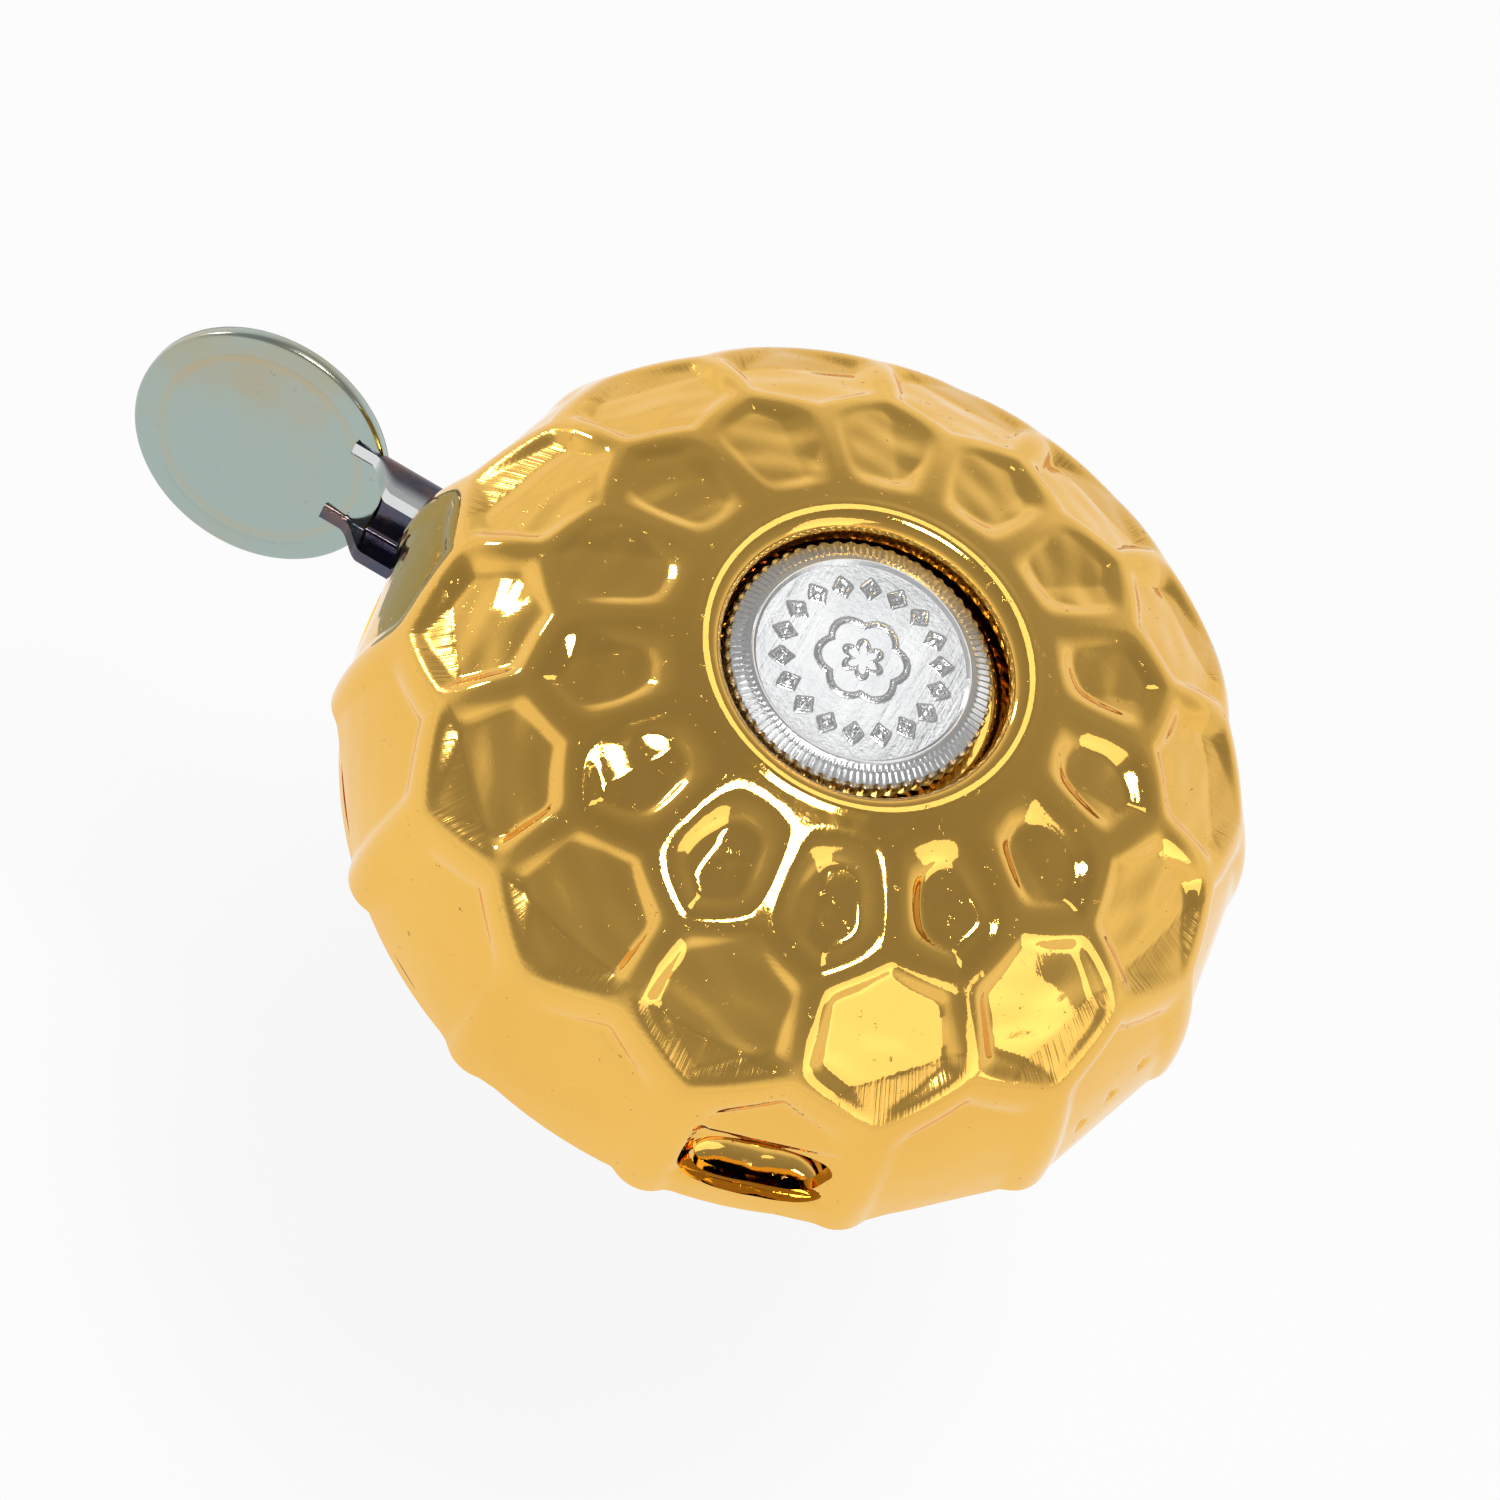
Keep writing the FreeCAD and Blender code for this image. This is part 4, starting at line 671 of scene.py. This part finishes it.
chrome.bump(wipes * 0.25 + chrome.noise(260.0, 3.0) * 0.5 - specks * 0.5, 0.00004)
near_ring = np.exp(-(((pad_r - DISH_RADIUS + 0.5) / 0.55) ** 2)) * (pad_back < PAD_PLATE)
near_ring = np.repeat(near_ring[:, None], PAD_AROUND, 1)
pad_faces = grid_faces(len(pad_points), PAD_AROUND)
thumb_disc = made_mesh("dished_thumb_pad", pad_points, pad_faces, chrome.material, 40.0, from_ring=near_ring)
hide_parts("thumb_disc")
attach(thumb_disc, "lever")


# Lever: chromed pressed sheet, whose dark navy and brown colour is painted shade, with a painted highlight along
# the top flange's edge.  A channel-shaped arm runs from the round plate behind the thumb pad into the cup, where
# it joins the toothed sector, which turns on its boss round the pivot pin.
SHEET = 0.9
PIVOT = np.array(joints["lever_press"]["pos_m"]) / MM
IDLER = np.array(joints["idler_spin"]["pos_m"]) / MM
ARM_START = 4.5
ARM_END = PIVOT[0] - ARM_START - PAD_PLACE[0]
ARM_TOP, ARM_BOTTOM = 4.75, -2.35
WEB_FRONT, WEB_BACK = 0.2, 1.1
TOP_FLANGE, LOW_FLANGE = 3.8, 3.2
FLANGE_START, FLANGE_GROWN = 7.0, 2.2
BEND = 0.8


def channel(x):
    """The closed outline of the arm's channel section at stations along it, as depth and height.

    Its middle line runs in along the top flange, round a bend, down the web, round a bend and out along the
    low flange, and the outline stands half a sheet to each side of it.
    """
    grow = smooth((x - FLANGE_START) / FLANGE_GROWN)[:, None]
    corner = np.linspace(0, math.pi / 2, 7)[None, :] + 0 * grow
    middle = (WEB_FRONT + WEB_BACK) / 2 - BEND
    top, bottom = ARM_TOP - SHEET / 2, ARM_BOTTOM + SHEET / 2
    top_tip = middle - (TOP_FLANGE - SHEET / 2 - BEND) * grow
    low_tip = middle - (LOW_FLANGE - SHEET / 2 - BEND) * grow
    rise, run = BEND * np.sin(corner), BEND * np.cos(corner)
    line_y = np.concatenate([top_tip, middle + rise, middle + run, low_tip], 1)
    line_z = np.concatenate([top + 0 * grow, top - BEND + run, bottom + BEND - rise, bottom + 0 * grow], 1)
    way_y, way_z = np.gradient(line_y, axis=1), np.gradient(line_z, axis=1)
    way_y[:, 0], way_z[:, 0], way_y[:, -1], way_z[:, -1] = 1, 0, -1, 0
    long = np.hypot(way_y, way_z)
    side_y, side_z = -way_z / long * SHEET / 2, way_y / long * SHEET / 2
    out_y = np.concatenate([line_y + side_y, (line_y - side_y)[:, ::-1]], 1)
    out_z = np.concatenate([line_z + side_z, (line_z - side_z)[:, ::-1]], 1)
    return out_y, out_z


arm_x = np.concatenate([np.linspace(5.5, 10.5, 26), np.linspace(11, ARM_END, 12)])
section_y, section_z = channel(arm_x)
arm_points = leaned(np.stack([arm_x[:, None] + 0 * section_y, section_y, section_z], -1))
stations, section = arm_points.shape[:2]
across_cap = np.arange(section // 2 - 1)
far = section - 1 - across_cap
caps = [
    np.stack([first + across_cap, first + across_cap + 1, first + far - 1, first + far], -1)
    for first in (0, (stations - 1) * section)
]
arm_faces = np.concatenate([grid_faces(stations, section), *caps])
PLATE_RADIUS, PLATE_ROUND = 7.9, 0.3
plate_r = [0, PLATE_RADIUS - PLATE_ROUND, PLATE_RADIUS - 0.05, PLATE_RADIUS]
plate_r += [PLATE_RADIUS - 0.05, PLATE_RADIUS - PLATE_ROUND, 0]
plate_points = on_pad_axis(plate_r, [PAD_PLATE, PAD_PLATE, 0.65, 0.85, 1.05, WEB_BACK, WEB_BACK])
SECTOR_LOW, SECTOR_TOP, BOSS_TOP = RIM_HEIGHT - 8.3, RIM_HEIGHT - 7.3, RIM_HEIGHT - 3.6
BOSS_RADIUS, PIN_HOLE = 3.0, 1.85
MODULE, SECTOR_TEETH, TEETH_CUT = 0.5, 54, 10
SECTOR_PITCH = MODULE * SECTOR_TEETH / 2
SECTOR_ROOT, SECTOR_TIP = SECTOR_PITCH - 1.1 * MODULE, SECTOR_PITCH + 0.75 * MODULE
TOOTH_TURN = 2 * math.pi / SECTOR_TEETH
sector_from = math.atan2(IDLER[1] - PIVOT[1], IDLER[0] - PIVOT[0]) - 2 * TOOTH_TURN
TAIL_WIDTH, TAIL_SHIFT, TAIL_LENGTH = 5.5, 0.2, 5.5


def lever_reach(angle):
    """How far the flat sheet reaches from the pivot: round the boss, out to the toothed sector, and along
    the tail.
    """
    phase = ((angle - sector_from) / TOOTH_TURN) % 1
    tooth_shape = smooth((0.5 - np.abs(phase - 0.5) - 0.14) / 0.2)
    inside = (angle > sector_from) & (angle < sector_from + TEETH_CUT * TOOTH_TURN)
    reach = np.where(inside, SECTOR_ROOT + (SECTOR_TIP - SECTOR_ROOT) * tooth_shape, BOSS_RADIUS)
    back, rise = -np.cos(angle), np.sin(angle)
    to_side = (TAIL_WIDTH / 2 + np.sign(rise) * TAIL_SHIFT) / np.maximum(np.abs(rise), 1e-6)
    tail = np.where(back > 0, np.minimum(TAIL_LENGTH / np.maximum(back, 1e-6), to_side), 0)
    return np.maximum(reach, tail)


def about_pivot(radius, height, angle):
    """Points at a radius and height round the lever's pivot."""
    out = radius * np.cos(angle)
    return np.stack([PIVOT[0] + out, PIVOT[1] + radius * np.sin(angle), height + 0 * out], -1)


fan = np.linspace(sector_from - math.pi * 0.9, sector_from + math.pi * 1.1, 900, endpoint=False)
reach = lever_reach(fan)
EDGE_ROUND = 0.06
hole, rim = PIN_HOLE + 0 * fan, reach - EDGE_ROUND
flat_r = np.stack([hole, BOSS_RADIUS + 0 * fan, rim, reach, reach, rim, hole])
flat_edge = [SECTOR_TOP - EDGE_ROUND, SECTOR_LOW + EDGE_ROUND]
flat_z = np.array([SECTOR_TOP, SECTOR_TOP, SECTOR_TOP, *flat_edge, SECTOR_LOW, SECTOR_LOW])
boss_r = np.array([PIN_HOLE, BOSS_RADIUS - 0.15, BOSS_RADIUS, BOSS_RADIUS, PIN_HOLE])
boss_z = np.array([BOSS_TOP, BOSS_TOP, BOSS_TOP - 0.15, SECTOR_TOP - 0.1, SECTOR_TOP - 0.1])
boss_fan = fan[::10]
boss_faces = grid_faces(len(boss_z), len(boss_fan), rows_close=True)
lever_points, lever_faces = gathered(
    (arm_points, arm_faces),
    (plate_points, grid_faces(len(plate_points), PAD_AROUND)),
    (about_pivot(flat_r, flat_z[:, None], fan), grid_faces(len(flat_z), len(fan), rows_close=True)),
    (about_pivot(boss_r[:, None], boss_z[:, None], boss_fan), boss_faces),
)
# The two outline points at the top flange's free edge carry a painted highlight.
cut_edge = np.zeros(len(lever_points))
cut_edge[: arm_points.size // 3].reshape(stations, section)[:, [0, -1]] = 1
# Dark navy to brown in patches: painted shade; the patches also make the roughness and bumps uneven.
painted_dark_chrome = Shader("chrome_with_painted_shade", (0.16, 0.16, 0.19), 0.15)
bloom_and_shade = painted_dark_chrome.ramp(painted_dark_chrome.noise(220.0, 4.0, 0.65), 0.42, 0.7)
painted_shade_colour = painted_dark_chrome.mixed(bloom_and_shade, (0.085, 0.09, 0.13), (0.20, 0.12, 0.10))
# Pale colour along the top flange's edge: a painted highlight.
painted_edge_highlight = painted_dark_chrome.ramp(painted_dark_chrome.attribute("cut_edge"), 0.3, 0.9)
painted_dark_chrome.feed(Base_Color=painted_dark_chrome.mixed(painted_edge_highlight, painted_shade_colour, (0.72, 0.74, 0.74)))
painted_dark_chrome.feed(Roughness=0.14 + bloom_and_shade * 0.16)
painted_dark_chrome.bump(painted_dark_chrome.noise(700.0, 3.0, 0.6, stretch=(0.2, 1.0, 1.0)) * 0.4 + bloom_and_shade * 0.3, 0.00005)
lever = made_mesh("pressed_lever", lever_points, lever_faces, painted_dark_chrome.material, 40.0, cut_edge=cut_edge)
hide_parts("lever_arm")
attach(lever, "lever")


# Return spring: drawn spring wire, wound left-handed round the boss.  Its high leg bears on the spring
# post, and its low leg behind the arm, so it winds up as the lever is pressed.
COIL_RADIUS, WIRE, COIL_TURNS, COIL_PITCH, LEG = 3.7, 0.35, 4, 0.75, 6.0
coil_share = np.linspace(0, 1, COIL_TURNS * 48)
coil_angle = math.pi / 2 - 2 * math.pi * COIL_TURNS * coil_share
COIL_GAP = 0.15
coil_height = SECTOR_TOP + COIL_GAP + WIRE + COIL_PITCH * COIL_TURNS * coil_share
coil_line = about_pivot(COIL_RADIUS, coil_height, coil_angle)
leg_way = np.array([2 * math.pi * COIL_RADIUS, 0, COIL_PITCH])
leg_way = leg_way / np.linalg.norm(leg_way)
leg = leg_way * np.linspace(0, LEG, 12)[:, None]
wire_line = np.concatenate([coil_line[0] - leg[::-1], coil_line[1:-1], coil_line[-1] + leg])


def tube(line, radius, around=12):
    """A round wire along a line: rings square to it, drawn in at both ends to close it."""
    way = np.gradient(line, axis=0)
    side = np.cross(way, [0, 0, 1])
    side = side / np.linalg.norm(side, axis=1, keepdims=True)
    rise = np.cross(side, way)
    rise = rise / np.linalg.norm(rise, axis=1, keepdims=True)
    station = np.concatenate([[0, 0], np.arange(len(line)), [-1, -1]])
    thick = np.concatenate([[0, 0.8], np.ones(len(line)), [0.8, 0]]) * radius
    ring = np.linspace(0, 2 * math.pi, around, endpoint=False)[:, None]
    spread = np.cos(ring) * side[station][:, None] + np.sin(ring) * rise[station][:, None]
    return line[station][:, None] + thick[:, None, None] * spread


def metal(name, colour, dark, roughness, scale=600.0, depth=0.00003, **constants):
    """A plain finish: colour drifting towards a darker one, dull patches, and fine drawn or tumbled lines."""
    made = Shader(name, colour, roughness, **constants)
    patches = made.ramp(made.noise(scale * 0.4, 4.0, 0.6), 0.4, 0.7)
    lines = made.noise(scale * 3, 2.0, 0.6, stretch=(1.0, 1.0, 0.15))
    made.feed(Base_Color=made.mixed(patches, colour, dark))
    made.feed(Roughness=roughness + patches * 0.15 + lines * 0.1)
    return made.bump(lines * 0.6 + patches * 0.3, depth).material


spring_steel = metal("spring_steel", (0.42, 0.42, 0.44), (0.25, 0.24, 0.24), 0.25)
spring_points = tube(wire_line, WIRE)
spring_faces = grid_faces(*spring_points.shape[:2])
spring = made_mesh("wound_return_spring", spring_points, spring_faces, spring_steel, 40.0)
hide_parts("return_spring")
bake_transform(spring)


# Plain turned, pressed and moulded pieces: the cup, spindle, pins, clips, gears, strikers and clamp keep
# their shapes, and each takes the finish it is made in.
rubber = metal("moulded_rubber", (0.035, 0.035, 0.036), (0.02, 0.02, 0.02), 0.7, 900.0, 6e-5, metallic=0.0)
fibre = metal("vulcanised_fibre", (0.22, 0.05, 0.03), (0.13, 0.03, 0.02), 0.55, metallic=0.0)
FINISHES = {
    "zinc_steel": metal("zinc_plated_steel", (0.60, 0.61, 0.62), (0.45, 0.45, 0.42), 0.28),
    "dark_steel": metal("pressed_steel", (0.30, 0.30, 0.31), (0.18, 0.17, 0.16), 0.35),
    "spring_steel": spring_steel,
    "brass_gear": metal("cut_brass", (0.72, 0.50, 0.20), (0.50, 0.32, 0.12), 0.25),
    "red_fibre": fibre,
    "rubber": rubber,
    "gold_plate": gold.material,
    "chrome": chrome.material,
    "nut_aluminium": nut_metal.material,
}
for part in frame["record"]["subparts"]:
    node = nodes[part["node"]]
    node.data.materials.clear()
    node.data.materials.append(FINISHES[part["material_slot"]])


# Floor and studio: a pale floor under the bell, a plain neutral room that is white at the horizon and
# dimmer towards the ceiling, the same for every ray, and four soft lamps.
FLOOR_HEIGHT, FLOOR_HALF = -0.06, 4.0
CAMERA_WHITE = 0.85
floor_paint = Shader("pale_floor", (0.9, 0.9, 0.9), 0.9, 0.0)
camera_ray, glossy_ray, transmission_ray = (
    floor_paint.node("ShaderNodeLightPath", {}, {}, f"Is {kind} Ray")
    for kind in ("Camera", "Glossy", "Transmission")
)
white = floor_paint.node("ShaderNodeEmission", {}, {"Strength": 1.0})
share = (camera_ray + glossy_ray + transmission_ray) * CAMERA_WHITE
painted = Value(floor_paint, floor_paint.surface.outputs[0])
mixed_floor = floor_paint.node("ShaderNodeMixShader", {}, {0: share, 1: painted, 2: white})
floor_paint.tree.links.new(mixed_floor.socket, floor_paint.tree.nodes["Material Output"].inputs["Surface"])
floor_mesh = bpy.data.meshes.new("floor")
corner_signs = ((-1, -1), (1, -1), (1, 1), (-1, 1))
floor_corners = [(x * FLOOR_HALF, y * FLOOR_HALF, FLOOR_HEIGHT) for x, y in corner_signs]
floor_mesh.from_pydata(floor_corners, [], [(0, 1, 2, 3)])
floor_mesh.materials.append(floor_paint.material)
floor = bpy.data.objects.new("floor", floor_mesh)
bpy.context.scene.collection.objects.link(floor)


def direction(azimuth, elevation):
    """The unit direction at an azimuth and an elevation in degrees."""
    azimuth, elevation = math.radians(azimuth), math.radians(elevation)
    level = math.cos(elevation)
    return (level * math.cos(azimuth), level * math.sin(azimuth), math.sin(elevation))


class Room(Shader):
    """The plain room round the bell, as the world's colour by direction."""

    def __init__(self, name):
        self.world = bpy.data.worlds.new(name)
        self.world.use_nodes = True
        self.tree = self.world.node_tree
        self.surface = self.tree.nodes["Background"]
        self.place = self.node("ShaderNodeTexCoord", {}, {}, "Generated")


room = Room("room")
height = room.node("ShaderNodeSeparateXYZ", {}, {"Vector": room.place}, "Z")
HORIZON, UPPER_WALLS, CEILING = (0.05, (0.95,) * 3), (0.45, (0.42,) * 3), (1.0, (0.30,) * 3)
room.feed(Color=room.shades(height, HORIZON, UPPER_WALLS, CEILING))
bpy.context.scene.world = room.world


def lamp(name, azimuth, elevation, distance, size, power):
    """A soft square lamp in a direction from the bell, aimed at it."""
    light = bpy.data.lights.new(name, "AREA")
    light.size = size
    light.energy = power
    made = bpy.data.objects.new(name, light)
    back = np.array(direction(azimuth, elevation))
    side = np.cross([0, 1, 0.01], back)
    side = side / np.linalg.norm(side)
    turned = Matrix((side, np.cross(back, side), back)).transposed().to_4x4()
    made.matrix_world = Matrix.Translation(back * distance + np.array([0, 0, RIM_HEIGHT * MM])) @ turned
    bpy.context.scene.collection.objects.link(made)


lamp("top_lamp", 280, 80, 0.8, 0.20, 3.0)
lamp("left_lamp", 160, 14, 0.9, 0.12, 1.5)
lamp("back_lamp", 92, 60, 0.8, 0.34, 0.45)
lamp("front_lamp", 335, 27, 0.8, 0.55, 1.0)
